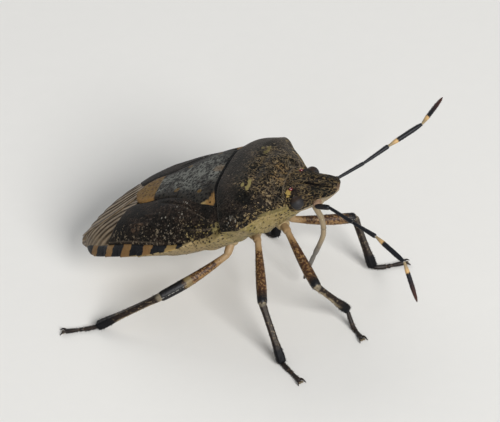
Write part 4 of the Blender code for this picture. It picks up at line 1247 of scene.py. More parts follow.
def build_band():
    """Band across a value: 1 within half the width of the centre, falling to 0 over the softness."""
    inputs = {"Value": 0.0, "Centre": 0.5, "Half Width": 0.1, "Softness": 0.02}
    _, given, put_out = new_group("Band", inputs, ("Mask",))
    away = abs(given["Value"] - given["Centre"])
    put_out(Mask=away.step(given["Half Width"] + given["Softness"], given["Half Width"]))


def build_shell():
    """Dark punctured cuticle with pale flecks and worm-like lines: colour, roughness and height.

    A line runs where a noise field lies within a small width of its middle value.
    """
    inputs = {
        "Vector": None,
        "Dark": (0.02, 0.016, 0.012),
        "Warm": (0.035, 0.025, 0.018),
        "Fleck": (0.2, 0.15, 0.09),
        "Amount": 0.3,
        "Worms": 0.0,
        "Fleck Scale": 4.0,
    }
    nodes, given, put_out = new_group("Mottled Shell", inputs, ("Color", "Roughness", "Height"))
    flecks = nodes.flecks(given["Fleck Scale"], given["Amount"], 0.06)
    lines = abs(nodes.noise(4.0, 1.0, 0.4) - 0.5).step(0.06, 0.027)
    pits = nodes.pits(6.0, 0.36)
    grain = nodes.noise(8.0, 3.0, 0.7)
    pale = (flecks | lines * given["Worms"]) * (nodes.noise(2.4, 2.0).step(0.34, 0.66) * 0.7 + 0.3)
    greyer = nodes.noise(3.1, 2.0).step(0.48, 0.6) * 0.55
    fleck = nodes.mix(greyer, given["Fleck"], given["Fleck"].scaled((0.62, 0.74, 1.05)))
    ground = nodes.mix(nodes.noise(1.1).step(0.4, 0.62), given["Dark"], given["Warm"])
    ground = ground.scaled(grain.step(0.36, 0.68) * 2.2 + 0.3)
    put_out(
        Color=nodes.layers(ground, (pale, fleck), (pits["Mask"] * 0.6, SHELL_PIT)),
        Roughness=grain * 0.4 + 0.4,
        Height=pits["Height"] + pale * 0.2 + grain * 0.5,
    )


# Materials

def pronotum_material(colours):
    """Dark punctured plate: ochre flecks in front, dim brown grain behind, few flecks at the shoulders.

    Two yellow marks stand on the disc, and a pale line and pale strokes lie along its edges.  The strokes stand
    for short pale hairs with painted glints, and painted shade blackens the hind edge.
    """
    on = Finish("pronotum_shell")
    across, along, inset = on.marks("across", "along", "inset")
    wide = abs(on.y)
    front = (on.x + on.wobble(0.9, 0.8)).step(-0.6, 2.0)
    rim = (across + on.wobble(4.0, 0.05)).step(0.86, 0.95)
    rim_ahead = rim * on.x.step(0.4, 1.4)
    bare = on.spot(BARE_SHOULDER, on.wobble(1.2, 0.5)) * ~rim
    blots = on.spot(FRONT_BLOT, on.wobble(3.0, 0.8))
    amount = front * 0.14 + 0.33 + on.wobble(1.5, 0.3) - bare * 0.22 + rim_ahead * 0.08 + blots * 0.1
    fleck = on.layers(
        colours.shell_dim, (front, colours.shell_fleck), (rim_ahead, colours.rim_fleck), (blots, BLOT_OCHRE)
    )
    worms = front * ~wide.step(1.8, 2.6) * 0.6
    shell = on.shell(colours.shell_dark, colours.shell_warm, fleck, amount, 5.8, Worms=worms)
    blur = on.wobble(4.5, 0.4)
    yellow = on.spot(YELLOW_MARK, blur) * ~on.spot(YELLOW_MARK_HOLE) | on.spot(YELLOW_MARK_END, blur)
    yellow = yellow * (on.y.step(-0.5, 0.5) * -0.5 + 1.0)
    lip = on.band(inset, 0.09, 0.02, 0.03) * wide.step(1.75, 1.5) * on.noise(3.0, 2.0).step(0.3, 0.5)
    edge = across.step(0.975, 0.99) * on.x.step(1.9, 2.3)
    # Pale strokes at the shoulders: short pale hairs with painted glints
    strokes = on.noise(3.0, 1.0, vector=on.vector.scaled((4.0, 0.8, 1.2))).step(0.56, 0.64)
    colour = on.layers(
        shell["Color"],
        (along.step(0.99, 0.997) * 0.9, GAP_SHADE),
        (yellow * 0.9, colours.mark_yellow),
        (edge * 0.7, EDGE_YELLOW),
        (lip * 0.7, LIP_BROWN),
        (strokes * on.spot(SHOULDER_STROKES, blur) * 0.7, HAIR_GLINT_PALE),
    )
    sheen = {"Sheen_Weight": 0.12, "Sheen_Roughness": 0.35, "Sheen_Tint": SHEEN_TINT}
    return on.done(colour, shell["Roughness"], shell["Height"], (0.9, 0.05), **sheen)


def scutellum_material(colours):
    """Painted grey sheen over a net of pits, with painted shade where the sheen is taken away towards the edges
    and the front, with orange front corners and an ochre tip.

    A brown spot lies in the middle of its base, two rusty ones on each side, and a black line of painted
    shade in the gap before it.
    """
    on = Finish("scutellum_shell")
    across, inset = on.marks("across", "inset")
    wide = abs(on.y)
    net = on.pits(4.4, 0.52)
    pits = on.pits(4.0, 0.46)
    small = on.pits(8.0, 0.42)["Mask"]
    tone = on.noise(1.4, 4.0)
    grain = on.noise(8.0, 3.0, 0.6)
    blur = on.wobble(2.6, 0.5)
    # flank marks the sloping edges and the front next to the pronotum, where painted shade takes the painted
    # sheen away
    flank = across.step(0.45, 0.85) | (wide + on.x).step(-0.9, 0.7)
    sheen_patches = (tone * 0.8 + grain * 0.8).step(0.66, 0.92) * (flank * -0.88 + 1.0)
    ground = on.layers(
        colours.shell_warm,
        (sheen_patches, colours.painted_sheen),
        (net["Mask"] * 0.92, NET_BLACK),
        (joined(on.spot(blot, blur) for blot in RUSTY_SPOTS) * 0.5, colours.ochre),
        (on.spot(BASAL_SPOT, on.wobble(3.0, 0.9)) * 0.5, BASAL_BROWN),
    )
    hem = (inset + on.wobble(3.0, 0.12)).step(0.4, 0.15)
    holes = pits["Mask"] * 0.85 | small * 0.45
    tip = on.layers(
        colours.ochre,
        (hem, colours.orange),
        (tone.step(0.42, 0.6) * 0.3, TIP_RUST),
        (holes * ~(hem * 0.75), TIP_PIT),
    )
    corner = on.layers(
        colours.orange,
        (small * 0.3, CORNER_RUST),
        (on.spot(CORNER_PIT), CORNER_BLACK),
        (on.x.step(-1.1, -1.5), CORNER_YELLOW),
    )
    # The black line before the base is painted shade in the gap under the pronotum's edge
    colour = on.layers(
        ground,
        ((wide * 0.05 + on.x).step(-5.66, -5.84), tip),
        (joined(on.spot(blot, blur) for blot in CORNER_SPOTS), corner),
        ((on.x - wide.step(1.6, 3.6) * 0.36).step(-0.87, -0.82), GAP_SHADE),
    )
    height = net["Height"] * 0.8 + pits["Height"] * 0.4 + grain * 0.4
    return on.done(colour, grain * 0.3 + 0.4, height, (0.8, 0.05))


def corium_material(colours):
    """Brown-black leather: whitish specks in the middle, dense tan flecks along the outer edge, pale veins."""
    on = Finish("corium_leather")
    across, along, vein, clavus = on.marks("across", "along", "vein", "clavus")
    blur = on.wobble(1.6, 0.6)
    outer = (across + on.wobble(1.2, 0.12)).step(0.6, 0.84)
    amount = outer * 0.15 + 0.32 + on.wobble(1.3, 0.16)
    fleck = on.layers(
        FLECK_DIM, (outer, colours.corium_fleck), (outer * on.x.step(-3.6, -2.2), FLECK_YELLOW)
    )
    shell = on.shell(colours.corium_dark, colours.corium_warm, fleck, amount, 4.8)
    rust = on.spot(RUST_STREAK, blur) * on.noise(4.0, 2.0).step(0.42, 0.56)
    specks = on.pits(3.6, 0.28)["Mask"] * on.noise(3.0, 2.0).step(0.36, 0.56) * on.spot(SPECKLED_MIDDLE, blur)
    broken = on.noise(5.0, 2.0).step(0.36, 0.56)
    edge = on.band(across, 0.985, 0.006, 0.006) * on.x.step(-4.6, -5.4) * 0.3
    hem = along.step(0.985, 0.992) * 0.5
    veins = vein.step(0.06, 0.03) * on.x.step(-3.0, -1.4) | clavus.step(0.05, 0.02) * on.x.step(-4.4, -3.4)
    root = on.spot(CORIUM_ROOT, on.wobble(4.0, 0.7)) * broken
    colour = on.layers(
        shell["Color"],
        (rust * 0.6, RUST_BROWN),
        (specks, colours.corium_speck),
        (edge | hem | veins * broken * 0.5, VEIN_BROWN),
        (root * 0.8, colours.mark_yellow),
    )
    return on.done(colour, shell["Roughness"], shell["Height"], (0.9, 0.05))


def membrane_material(colours):
    """Smoky thin wing: tan film, a dark brown band along each vein and a pale line between the bands."""
    on = Finish("membrane_film")
    along, ray = on.marks("along", "ray")
    away = abs((ray + on.wobble(1.5, 0.12)).fraction() - 0.5)
    fade = (along + on.wobble(1.5, 0.15)).step(1.0, 0.72)
    patchy = on.noise(1.4).step(0.3, 0.55)
    dusk = away.step(0.34, 0.14) * (fade * 0.55 + 0.45) * (patchy * 0.4 + 0.6)
    colour = on.layers(
        colours.membrane_pale,
        (on.noise(2.2).step(0.3, 0.7), FILM_BROWN),
        (dusk, colours.membrane_dark),
        (away.step(0.36, 0.46) * 0.5, FILM_LINE),
    )
    crinkle = on.noise(7.0)
    return on.done(colour, crinkle * 0.3 + 0.3, crinkle, (0.5, 0.03))


def underside_material(colours):
    """Pale waxy underside with dark punctures, and a black rim with a slanting orange bar on each segment."""
    on = Finish("underside_cuticle")
    (hips,) = on.marks("hip")
    pits = on.pits(2.8, 0.3)
    small = on.pits(5.2, 0.4)
    tone = on.noise(1.1)
    some = on.noise(1.9, 2.0).step(0.34, 0.44)
    few = on.noise(2.6, 2.0).step(0.36, 0.5)
    pale = on.layers(
        colours.under_pale,
        (tone.step(0.35, 0.65), colours.under_green),
        (on.x.step(-0.5, -2.5) * 0.6, REAR_ROSY),
        (on.noise(5.0).step(0.5, 0.66) * 0.45, WAX_PALE),
        (pits["Mask"] * some | small["Mask"] * few * 0.9, colours.pit),
        (hips * 0.5, colours.leg_pale),
    )
    limit = on.x.step(-3.6, -2.5) * 0.3 - 0.5 - on.x.step(-6.5, -9.5) * 0.3 - on.x.step(-9.5, -12.0) * 0.5
    above = (on.z + on.wobble(2.2, 0.08)).step(limit, limit + 0.04)
    rim = above * on.x.step(-2.3, -2.7) * ~hips
    slant = on.x - (on.z * 0.55 + 0.25) + on.wobble(2.8, 0.17)
    bars = joined(on.band(slant, centre, half, 0.05) for centre, half in zip(BARS, BAR_HALVES))
    rusty = small["Mask"] * 0.45 | tone.step(0.45, 0.65) * 0.5
    orange = on.layers(colours.orange, (rusty, BAR_RUST), (on.x.step(-5.0, -4.2) * 0.6, BAR_YELLOW))
    # The black rim is lighter away from its punctures: a painted sheen
    black = on.mix(small["Height"] * 0.5, RIM_BLACK, RIM_PAINTED_SHEEN)
    colour = on.mix(rim, pale, on.mix(bars, black, orange))
    height = pits["Height"] * 0.5 + small["Height"] * 0.4 + on.noise(8.0) * 0.4
    return on.done(colour, tone * 0.2 + 0.42, height, (0.7, 0.05), 0.12)


def head_material(colours):
    """Ochre worm lines on brown-black above, dark furrows, a cream underside and a pinkish tip."""
    on = Finish("head_cuticle")
    up, knob = on.marks("up", "knob")
    wide = abs(on.y)
    squeezed = on.vector.scaled((1.0, 1.3, 1.3))
    amount = on.noise(1.6, 2.0) - 0.23
    shell = on.shell(
        colours.shell_dark, colours.shell_warm, colours.head_fleck, amount, 4.6, Worms=0.9, Vector=squeezed
    )
    furrow = on.band(wide, 0.29, 0.07, 0.04) * on.x.step(3.9, 4.2) * on.x.step(5.6, 4.7)
    dusk = on.band(wide, 0.78, 0.08, 0.12) * on.x.step(4.3, 4.8)
    above = on.layers(
        shell["Color"],
        (furrow * 0.95, FURROW_BLACK),
        (dusk * 0.6, LOBE_GREY),
        (on.spot(OCELLUS_SHADE, on.wobble(4.0, 0.6)) * 0.8, SHADE_BLACK),
        (on.spot(OCELLUS_MARK, on.wobble(6.0, 1.3)), MARK_YELLOW),
        (on.x.step(5.86, 5.95) * wide.step(0.5, 0.25) * 0.65, colours.head_tip),
    )
    below = on.layers(
        colours.head_cream, (on.noise(2.0), colours.leg_pale), (on.pits(6.0, 0.2)["Mask"] * 0.35, colours.pit)
    )
    low = on.x.step(4.1, 5.0) * 0.42 - 0.6
    upper = (up + on.wobble(5.0, 0.06)).step(low, low + 0.1)
    colour = on.layers(below, (upper, above), (knob * 0.8, colours.socket_pink))
    return on.done(colour, shell["Roughness"], shell["Height"], (0.8, 0.045))


def eye_material(colours):
    """Dull grey-black eye made of fine facets, and browner above."""
    on = Finish("eye_facets")
    facet = on.cells(26.0).step(0.75, 0.1)
    colour = on.layers(
        colours.eye, (on.z.step(-0.82, -0.6), EYE_BROWN), (facet * -0.35 + 0.35, EYE_BLACK)
    )
    return on.done(colour, facet * 0.1 + 0.5, facet, (0.3, 0.01), 0.18)


def ocellus_material(colours):
    """Clear red bead."""
    on = Finish("ocellus_bead")
    colour = on.mix(on.noise(6.0, 2.0), colours.ocellus, OCELLUS_DARK)
    return on.done(colour, 0.12, on.noise(9.0, 1.0), (0.1, 0.005), PLAIN_GLOSS, Coat_Weight=0.8)


def feeler_material(colours):
    """Blue-black rods, whitish at the joints and pale over the first part of the two outer lengths."""
    on = Finish("feeler_cuticle")
    (share,) = on.marks("share")
    within = share.fraction()
    tone = on.noise(2.2)
    start = (within + on.wobble(3.0, 0.02)).step(0.3, 0.26) * share.step(2.995, 3.005)
    ring = on.mix(within.step(0.1, 0.25), colours.ring_pale, RING_TAN)
    joint = within.step(0.965, 0.985) * share.step(4.0, 3.99)
    scape = share.step(1.0, 0.98) * on.noise(5.0, 2.0).step(0.5, 0.6)
    # Noise lays patches of painted sheen over the blue-black
    colour = on.layers(
        colours.feeler_black,
        (tone, FEELER_PAINTED_SHEEN),
        (share.step(4.35, 4.95), FEELER_END),
        (start, ring),
        (joint * 0.75, JOINT_PALE),
        (scape * 0.12, SCAPE_BROWN),
    )
    return on.done(colour, tone * 0.2 + 0.28, on.noise(14.0, 2.0), (0.4, 0.02), 0.16)


def beak_material(colours):
    """Cream beak, greyer in its second half, with a fine dark line along it and a black tip."""
    on = Finish("beak_cuticle")
    share, facing = on.marks("share", "facing")
    tone = on.noise(2.0)
    joints = joined(on.band(share, joint, 0.006, 0.008) for joint in BEAK_JOINTS)
    colour = on.layers(
        colours.beak,
        (tone, colours.leg_pale),
        (share.step(0.35, 0.6), BEAK_GREY),
        (joints * 0.4, BEAK_JOINT),
        (on.band(facing, -0.25, 0.06, 0.08) * 0.35, BEAK_LINE),
        (share.step(0.92, 0.96), BEAK_TIP),
    )
    return on.done(colour, tone * 0.2 + 0.3, tone, (0.3, 0.03), PLAIN_GLOSS)


def femur_material(colours):
    """Pale base, orange-brown middle mottled with dark brown, a black end and a pale knee with dark spots.

    The mark "dark" is the share of the length at which the black begins; a pale ring comes before an early one.
    """
    on = Finish("femur_cuticle")
    share, facing, begin = on.marks("share", "facing", "dark")
    ragged = share + on.wobble(2.6, 0.05)
    grow = ragged.step(0.02, 0.27)
    mottle = on.flecks(7.0, (grow * 0.62 + facing.step(-0.5, 0.7) * 0.22) * grow, 0.1)
    dots = on.pits(6.0, 0.32)
    crumbs = on.flecks(6.5, 0.3, 0.05)
    early = begin.step(0.78, 0.72)
    gap = begin - ragged
    ring = on.band(gap, 0.05, 0.035, 0.02) * early
    skin = on.layers(
        colours.leg_pale,
        (on.noise(1.8, 2.0), colours.leg_orange),
        (ragged.step(0.05, 0.26) * 0.9, colours.leg_orange),
        (mottle, colours.leg_brown),
        (dots["Mask"] * grow * 0.8, FEMUR_PIT),
        (crumbs * grow * 0.6, CRUMB_PALE),
        (ring * 0.75, FEMUR_RING),
    )
    # A row of pale dashes along the black end: spines with a painted ridge sheen
    spines_and_sheen = on.noise(12.0, 1.0).step(0.46, 0.54) * on.band(facing, 0.2, 0.02, 0.06)
    black = on.layers(
        colours.leg_black, (spines_and_sheen * 0.8, SPINE_SHEEN_PALE), (crumbs * (early * -0.5 + 0.55), CRUMB_BROWN)
    )
    cap = on.mix(on.pits(4.6, 0.44)["Mask"], KNEE_PALE, KNEE_SPOT)
    colour = on.layers(
        skin,
        ((gap + (early * 0.06 - 0.06)).step(0.04, early * 0.09 - 0.12), black),
        (share.step(0.96, 0.975) * 0.85, cap),
    )
    grain = on.noise(8.0)
    return on.done(colour, grain * 0.25 + 0.36, dots["Height"] + grain * 0.6, (0.5, 0.03), 0.25)


def tibia_material(colours):
    """Dark along the back and paler below, flecked, with a black end and a pale start past the knee."""
    on = Finish("tibia_cuticle")
    share, facing = on.marks("share", "facing")
    pale = on.mix(on.noise(2.0, 2.0), TIBIA_PALE, colours.leg_pale)
    dark = on.mix(on.noise(4.0), colours.leg_black, TIBIA_BROWN)
    colour = on.layers(
        pale,
        ((facing + on.wobble(3.5, 0.5)).step(-0.9, -0.2), dark),
        (on.flecks(5.5, 0.4, 0.06) * 0.7, TIBIA_FLECK),
        (on.band(facing, 0.98, 0.05, 0.06) * 0.15, GROOVE_PALE),
        (share.step(0.08, 0.03) * 0.6, TIBIA_PALE),
        ((share + on.wobble(3.0, 0.05)).step(0.66, 0.8), colours.leg_black),
    )
    grain = on.noise(8.0)
    return on.done(colour, grain * 0.25 + 0.4, grain, (0.5, 0.03), 0.12)


def tarsus_material(colours):
    """Brown-black foot with browner joints, dark claws and tan pads."""
    on = Finish("tarsus_cuticle")
    (share,) = on.marks("share")
    tone = on.noise(4.0)
    joints = joined(on.band(share, joint, 0.01, 0.02) for joint in TARSUS_JOINTS)
    colour = on.layers(
        colours.leg_black, (tone, TARSUS_BROWN), (joints * 0.5, TARSUS_JOINT), (share.step(1.5, 1.9), PAD_TAN)
    )
    return on.done(colour, tone * 0.2 + 0.34, tone, (0.4, 0.03), 0.2)


def floor_material(stage):
    """Pale matt paint with a very faint grain."""
    on = Finish("pale_floor", on_body=False)
    grain = on.noise(900.0)
    colour = on.mix(grain * 0.06, stage.floor_colour, FLOOR_GREY)
    return on.done(colour, 0.9, grain, (0.05, 0.02), 0.05)


# Settings

def size_property(name, description, default):
    """A length that the panel shows in the scene's units."""
    return bpy.props.FloatProperty(
        name=name, description=description, default=default, unit="LENGTH", precision=6
    )


def colour_property(name, description, default):
    """A colour, in linear shares of red, green and blue."""
    return bpy.props.FloatVectorProperty(
        name=name, description=description, default=default, size=3, min=0.0, max=1.0, subtype="COLOR"
    )


class ShieldBugForm(bpy.types.PropertyGroup):
    """Sizes of the insect that a user may change."""

    nose_up: bpy.props.FloatProperty(
        name="Nose Up", description="Pitch of the body", default=math.radians(20.0), subtype="ANGLE"
    )
    plate_thickness: size_property("Plate Thickness", "Thickness of the wing plates", 0.00014)
    femur_radius: size_property("Femur Radius", "Half thickness of the upper leg", 0.00033)
    tibia_radius: size_property("Tibia Radius", "Half thickness of the lower leg", 0.00024)
    tarsus_radius: size_property("Tarsus Radius", "Half thickness of the foot", 0.00013)
    feeler_radius: size_property("Feeler Radius", "Half thickness of the feelers near their base", 0.000108)
    beak_radius: size_property("Beak Radius", "Half thickness of the beak at its middle", 0.00016)
    hair_length: size_property("Hair Length", "Length of the longest hairs on the legs", 0.00016)
    hair_radius: size_property("Hair Radius", "Half thickness of a hair at its root", 0.000009)


class ShieldBugColours(bpy.types.PropertyGroup):
    """Colours of the insect's finishes."""

    shell_dark: colour_property("Shell Dark", "Ground colour of the head and pronotum", (0.005, 0.0048, 0.004))
    shell_warm: colour_property("Shell Warm", "Browner ground of the head and pronotum", (0.015, 0.0115, 0.009))
    shell_fleck: colour_property("Shell Fleck", "Flecks on the front of the pronotum", (0.245, 0.175, 0.09))
    shell_dim: colour_property("Shell Dim", "Flecks on the rear of the pronotum", (0.092, 0.071, 0.054))
    rim_fleck: colour_property("Rim Fleck", "Flecks along the pronotum's side edge", (0.27, 0.19, 0.08))
    mark_yellow: colour_property("Yellow Marks", "On the pronotum and the wings' roots", (0.2, 0.165, 0.065))
    # Painted sheen: a grey reflection painted over the scutellum
    painted_sheen: colour_property("Bloom", "Grey bloom on the scutellum", (0.155, 0.158, 0.137))
    orange: colour_property("Orange", "Front corners of the scutellum and bars on the rim", (0.21, 0.12, 0.042))
    ochre: colour_property("Ochre", "Tip of the scutellum", (0.18, 0.105, 0.026))
    corium_dark: colour_property("Corium Dark", "Ground of the leathery wing part", (0.007, 0.006, 0.005))
    corium_warm: colour_property("Corium Warm", "Browner ground of that part", (0.017, 0.012, 0.009))
    corium_fleck: colour_property("Corium Fleck", "Flecks on the leathery wing part", (0.17, 0.135, 0.09))
    corium_speck: colour_property("Corium Speck", "Whitish specks in its middle", (0.2, 0.185, 0.155))
    membrane_pale: colour_property("Membrane Pale", "Film of the thin wing part", (0.28, 0.21, 0.135))
    membrane_dark: colour_property("Membrane Dark", "Bands of the thin wing part", (0.05, 0.034, 0.02))
    under_pale: colour_property("Underside Pale", "Ground colour of the underside", (0.225, 0.17, 0.072))
    under_green: colour_property("Underside Green", "Greener parts of the underside", (0.165, 0.13, 0.045))
    pit: colour_property("Punctures", "Dark punctures of the underside", (0.022, 0.016, 0.01))
    head_fleck: colour_property("Head Marks", "Worm-like marks on the head", (0.21, 0.145, 0.065))
    head_cream: colour_property("Head Underside", "Pale underside of the head", (0.27, 0.24, 0.18))
    head_tip: colour_property("Head Tip", "Tip of the clypeus", (0.2, 0.13, 0.085))
    socket_pink: colour_property("Feeler Sockets", "Knobs that carry the feelers", (0.22, 0.13, 0.085))
    eye: colour_property("Eyes", "Grey-black of the eyes", (0.026, 0.025, 0.026))
    ocellus: colour_property("Ocelli", "Red beads behind the eyes", (0.16, 0.012, 0.014))
    feeler_black: colour_property("Feeler Black", "Dark parts of the feelers", (0.006, 0.007, 0.01))
    ring_pale: colour_property("Feeler Rings", "Pale parts of the feelers", (0.27, 0.205, 0.115))
    beak: colour_property("Beak", "Cream of the beak", (0.18, 0.142, 0.083))
    leg_pale: colour_property("Leg Pale", "Pale bases and rings of the legs", (0.33, 0.245, 0.145))
    leg_orange: colour_property("Leg Orange", "Warm parts of the upper legs", (0.215, 0.12, 0.044))
    leg_brown: colour_property("Leg Brown", "Mottling of the legs", (0.046, 0.018, 0.008))
    leg_black: colour_property("Leg Black", "Dark ends of the legs", (0.006, 0.006, 0.007))


class ShieldBugStage(bpy.types.PropertyGroup):
    """Floor, lights and camera."""

    floor_size: size_property("Floor Size", "Side of the square floor", 1.2)
    floor_colour: colour_property("Floor Colour", "Paint of the floor", (0.8, 0.785, 0.75))
    key_power: bpy.props.FloatProperty(
        name="Key Light", description="Power of the large light beside the camera", default=3.0, unit="POWER"
    )
    sky_power: bpy.props.FloatProperty(
        name="Back Light", description="Power of the soft light behind the insect", default=1.1, unit="POWER"
    )
    surround: bpy.props.FloatProperty(
        name="Surround", description="Brightness of the even light all round", default=0.3, min=0.0
    )


# Operators

class SHIELDBUG_OT_groups(bpy.types.Operator):
    """Builds the node groups that several finishes share"""

    bl_idname = "shield_bug.groups"
    bl_label = "Shared Textures"

    def execute(self, context):
        build_pits()
        build_flecks()
        build_band()
        build_shell()
        return {"FINISHED"}


class SHIELDBUG_OT_pronotum(bpy.types.Operator):
    """Adds the shield behind the head"""

    bl_idname = "shield_bug.pronotum"
    bl_label = "Pronotum"

    def execute(self, context):
        material = pronotum_material(context.scene.shield_bug_colours)
        surface = pronotum_surface(context.scene.shield_bug_form)
        make_piece("pronotum_plate", surface, material, ("pronotum",))
        return {"FINISHED"}


class SHIELDBUG_OT_scutellum(bpy.types.Operator):
    """Adds the long triangle between the wings"""

    bl_idname = "shield_bug.scutellum"
    bl_label = "Scutellum"

    def execute(self, context):
        material = scutellum_material(context.scene.shield_bug_colours)
        surface = scutellum_surface(context.scene.shield_bug_form)
        make_piece("scutellum_plate", surface, material, ("scutellum",))
        return {"FINISHED"}


class SHIELDBUG_OT_wings(bpy.types.Operator):
    """Adds the leathery and the thin part of both folded fore wings"""

    bl_idname = "shield_bug.wings"
    bl_label = "Wings"

    def execute(self, context):
        form = context.scene.shield_bug_form
        leather = corium_material(context.scene.shield_bug_colours)
        film = membrane_material(context.scene.shield_bug_colours)
        for side, word in SIDES:
            surface = corium_surface(side, form)
            make_piece("corium_plate_" + word, surface, leather, ("corium_" + word,))
            surface = membrane_surface(side, form)
            make_piece("membrane_film_" + word, surface, film, ("membrane_" + word,))
        return {"FINISHED"}


class SHIELDBUG_OT_trunk(bpy.types.Operator):
    """Adds the thorax with the hips, and the abdomen with its barred rim"""

    bl_idname = "shield_bug.trunk"
    bl_label = "Trunk"

    def execute(self, context):
        material = underside_material(context.scene.shield_bug_colours)
        make_piece("thorax_shell", thorax_surface(), material, ("thorax",))
        make_piece("abdomen_shell", abdomen_surface(), material, ("abdomen",))
        return {"FINISHED"}


class SHIELDBUG_OT_head(bpy.types.Operator):
    """Adds the head, its two eyes and the two red ocelli"""

    bl_idname = "shield_bug.head"
    bl_label = "Head"

    def execute(self, context):
        colours = context.scene.shield_bug_colours
        make_piece("head_capsule", head_surface(), head_material(colours), ("head",))
        facets = eye_material(colours)
        red = ocellus_material(colours)
        for side, word in SIDES:
            eye = ball(mirrored(EYE, side), EYE_RADII, 64, 40, {})
            make_piece("compound_eye_" + word, eye, facets, ("eye_" + word,))
            ocellus = ball(mirrored(OCELLUS, side), OCELLUS_RADII, 24, 14, {})
            make_piece("ocellus_" + word, ocellus, red)
        return {"FINISHED"}


class SHIELDBUG_OT_feelers(bpy.types.Operator):
    """Adds the two feelers and the beak"""

    bl_idname = "shield_bug.feelers"
    bl_label = "Feelers and Beak"

    def execute(self, context):
        form = context.scene.shield_bug_form
        colours = context.scene.shield_bug_colours
        material = feeler_material(colours)
        for side, word in SIDES:
            surface = feeler_surface(side, FEELERS[word], form)
            make_piece("feeler_rod_" + word, surface, material, ("feeler_" + word,), "floor")
        make_piece("beak_rod", beak_surface(form), beak_material(colours), ("beak",))
        return {"FINISHED"}


class SHIELDBUG_OT_legs(bpy.types.Operator):
    """Adds the six legs, each in three pieces"""

    bl_idname = "shield_bug.legs"
    bl_label = "Legs"

    def execute(self, context):
        colours = context.scene.shield_bug_colours
        materials = {
            "femur": femur_material(colours),
            "tibia": tibia_material(colours),
            "tarsus": tarsus_material(colours),
        }
        for name in LEGS:
            surfaces = leg_surfaces(name, context.scene.shield_bug_form)
            for (part, material), surface in zip(materials.items(), surfaces):
                make_piece(f"{part}_rod_{name}", surface, material, (f"{part}_{name}",), "floor")
        return {"FINISHED"}


class SHIELDBUG_OT_stage(bpy.types.Operator):
    """Adds the floor, the lights and the camera"""

    bl_idname = "shield_bug.stage"
    bl_label = "Stage"

    def execute(self, context):
        stage = context.scene.shield_bug_stage
        add_floor(stage)
        add_lights(stage)
        add_camera()
        return {"FINISHED"}


def add_floor(stage):
    """Square floor whose top is at height 0."""
    half = 0.5 * stage.floor_size
    mesh = bpy.data.meshes.new("floor")
    corners = [(-half, -half, 0.0), (half, -half, 0.0), (half, half, 0.0), (-half, half, 0.0)]
    mesh.from_pydata(corners, [], [(0, 1, 2, 3)])
    mesh.materials.append(floor_material(stage))
    floor = bpy.data.objects.new("floor", mesh)
    bpy.context.scene.collection.objects.link(floor)


def view_axes():
    """Right, up and towards-camera unit vectors of the photo's view, in the row's frame."""
    right = np.asarray(VIEW_RIGHT)
    up = np.asarray(VIEW_UP)
    return np.stack([right, up, np.cross(right, up)])


def add_lights(stage):
    """Two round lamps that face the insect, set by the view's axes, and an even light all round."""
    target = np.asarray(LIGHT_TARGET) * MM
    powers = {"key_light": stage.key_power, "back_light": stage.sky_power}
    for name, (course, size) in LAMPS.items():
        lamp = bpy.data.lights.new(name, "AREA")
        lamp.energy = powers[name]
        lamp.size = size
        lamp.shape = "DISK"
        thing = bpy.data.objects.new(name, lamp)
        way = np.asarray(course) @ view_axes()
        way /= np.linalg.norm(way)
        thing.location = target + LAMP_DISTANCE * way
        thing.rotation_euler = Vector(way).to_track_quat("Z", "Y").to_euler()
        bpy.context.scene.collection.objects.link(thing)
    world = bpy.data.worlds.new("surround")
    world.use_nodes = True
    background = world.node_tree.nodes["Background"]
    background.inputs["Color"].default_value = (*SURROUND_COLOUR, 1.0)
    background.inputs["Strength"].default_value = stage.surround
    bpy.context.scene.world = world
    bpy.context.scene.view_settings.view_transform = "Standard"


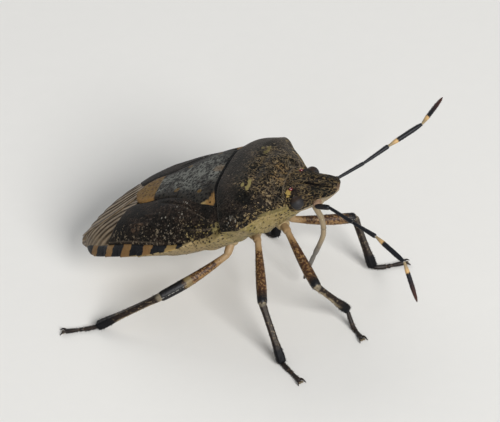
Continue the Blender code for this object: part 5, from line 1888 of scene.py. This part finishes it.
def add_camera():
    """Camera at the photo's angle: its axes are the view's, and the shift brings the aim to its pixel."""
    axes = view_axes()
    origin = -np.array([STANCE_CENTRE_X, STANCE_CENTRE_Y, FLOOR]) * MM
    place = origin + VIEW_DISTANCE * MM * axes[2]
    camera = bpy.data.cameras.new("photo_camera")
    camera.sensor_width = SENSOR_WIDTH
    camera.lens = SENSOR_WIDTH * VIEW_DISTANCE / FIELD_WIDTH
    camera.shift_x = (0.5 * PHOTO_WIDTH - AIM_PIXEL[0]) / PHOTO_WIDTH
    camera.shift_y = (AIM_PIXEL[1] - 0.5 * PHOTO_HEIGHT) / PHOTO_WIDTH
    camera.clip_start = 0.01
    camera.clip_end = 10.0
    thing = bpy.data.objects.new("photo_camera", camera)
    thing.matrix_world = Matrix.Translation(place) @ Matrix(axes.tolist()).transposed().to_4x4()
    bpy.context.scene.collection.objects.link(thing)
    bpy.context.scene.camera = thing


class SHIELDBUG_PT_panel(bpy.types.Panel):
    """Settings and steps of the shield bug"""

    bl_idname = "SHIELDBUG_PT_panel"
    bl_label = "Shield Bug"
    bl_space_type = "VIEW_3D"
    bl_region_type = "UI"
    bl_category = "Shield bug"

    def draw(self, context):
        for settings in SETTINGS:
            values = getattr(context.scene, settings)
            box = self.layout.box()
            for name in values.bl_rna.properties.keys():
                if name not in {"rna_type", "name"}:
                    box.prop(values, name)
        for operator in OPERATORS:
            self.layout.operator(operator.bl_idname)


OPERATORS = (
    SHIELDBUG_OT_groups,
    SHIELDBUG_OT_pronotum,
    SHIELDBUG_OT_scutellum,
    SHIELDBUG_OT_wings,
    SHIELDBUG_OT_trunk,
    SHIELDBUG_OT_head,
    SHIELDBUG_OT_feelers,
    SHIELDBUG_OT_legs,
    SHIELDBUG_OT_stage,
)
SETTINGS = {
    "shield_bug_form": ShieldBugForm,
    "shield_bug_colours": ShieldBugColours,
    "shield_bug_stage": ShieldBugStage,
}
CLASSES = (*SETTINGS.values(), *OPERATORS, SHIELDBUG_PT_panel)


def register():
    """Tells Blender of the classes, and gives each scene the settings."""
    for kind in CLASSES:
        bpy.utils.register_class(kind)
    for name, kind in SETTINGS.items():
        setattr(bpy.types.Scene, name, bpy.props.PointerProperty(type=kind))


def unregister():
    """Takes the settings and the classes back out."""
    for name in SETTINGS:
        delattr(bpy.types.Scene, name)
    for kind in reversed(CLASSES):
        bpy.utils.unregister_class(kind)


def main():
    """Builds the insect and its stage."""
    register()
    bpy.ops.shield_bug.groups()
    bpy.ops.shield_bug.pronotum()
    bpy.ops.shield_bug.scutellum()
    bpy.ops.shield_bug.wings()
    bpy.ops.shield_bug.trunk()
    bpy.ops.shield_bug.head()
    bpy.ops.shield_bug.feelers()
    bpy.ops.shield_bug.legs()
    bpy.ops.shield_bug.stage()


if __name__ == "__main__":
    main()
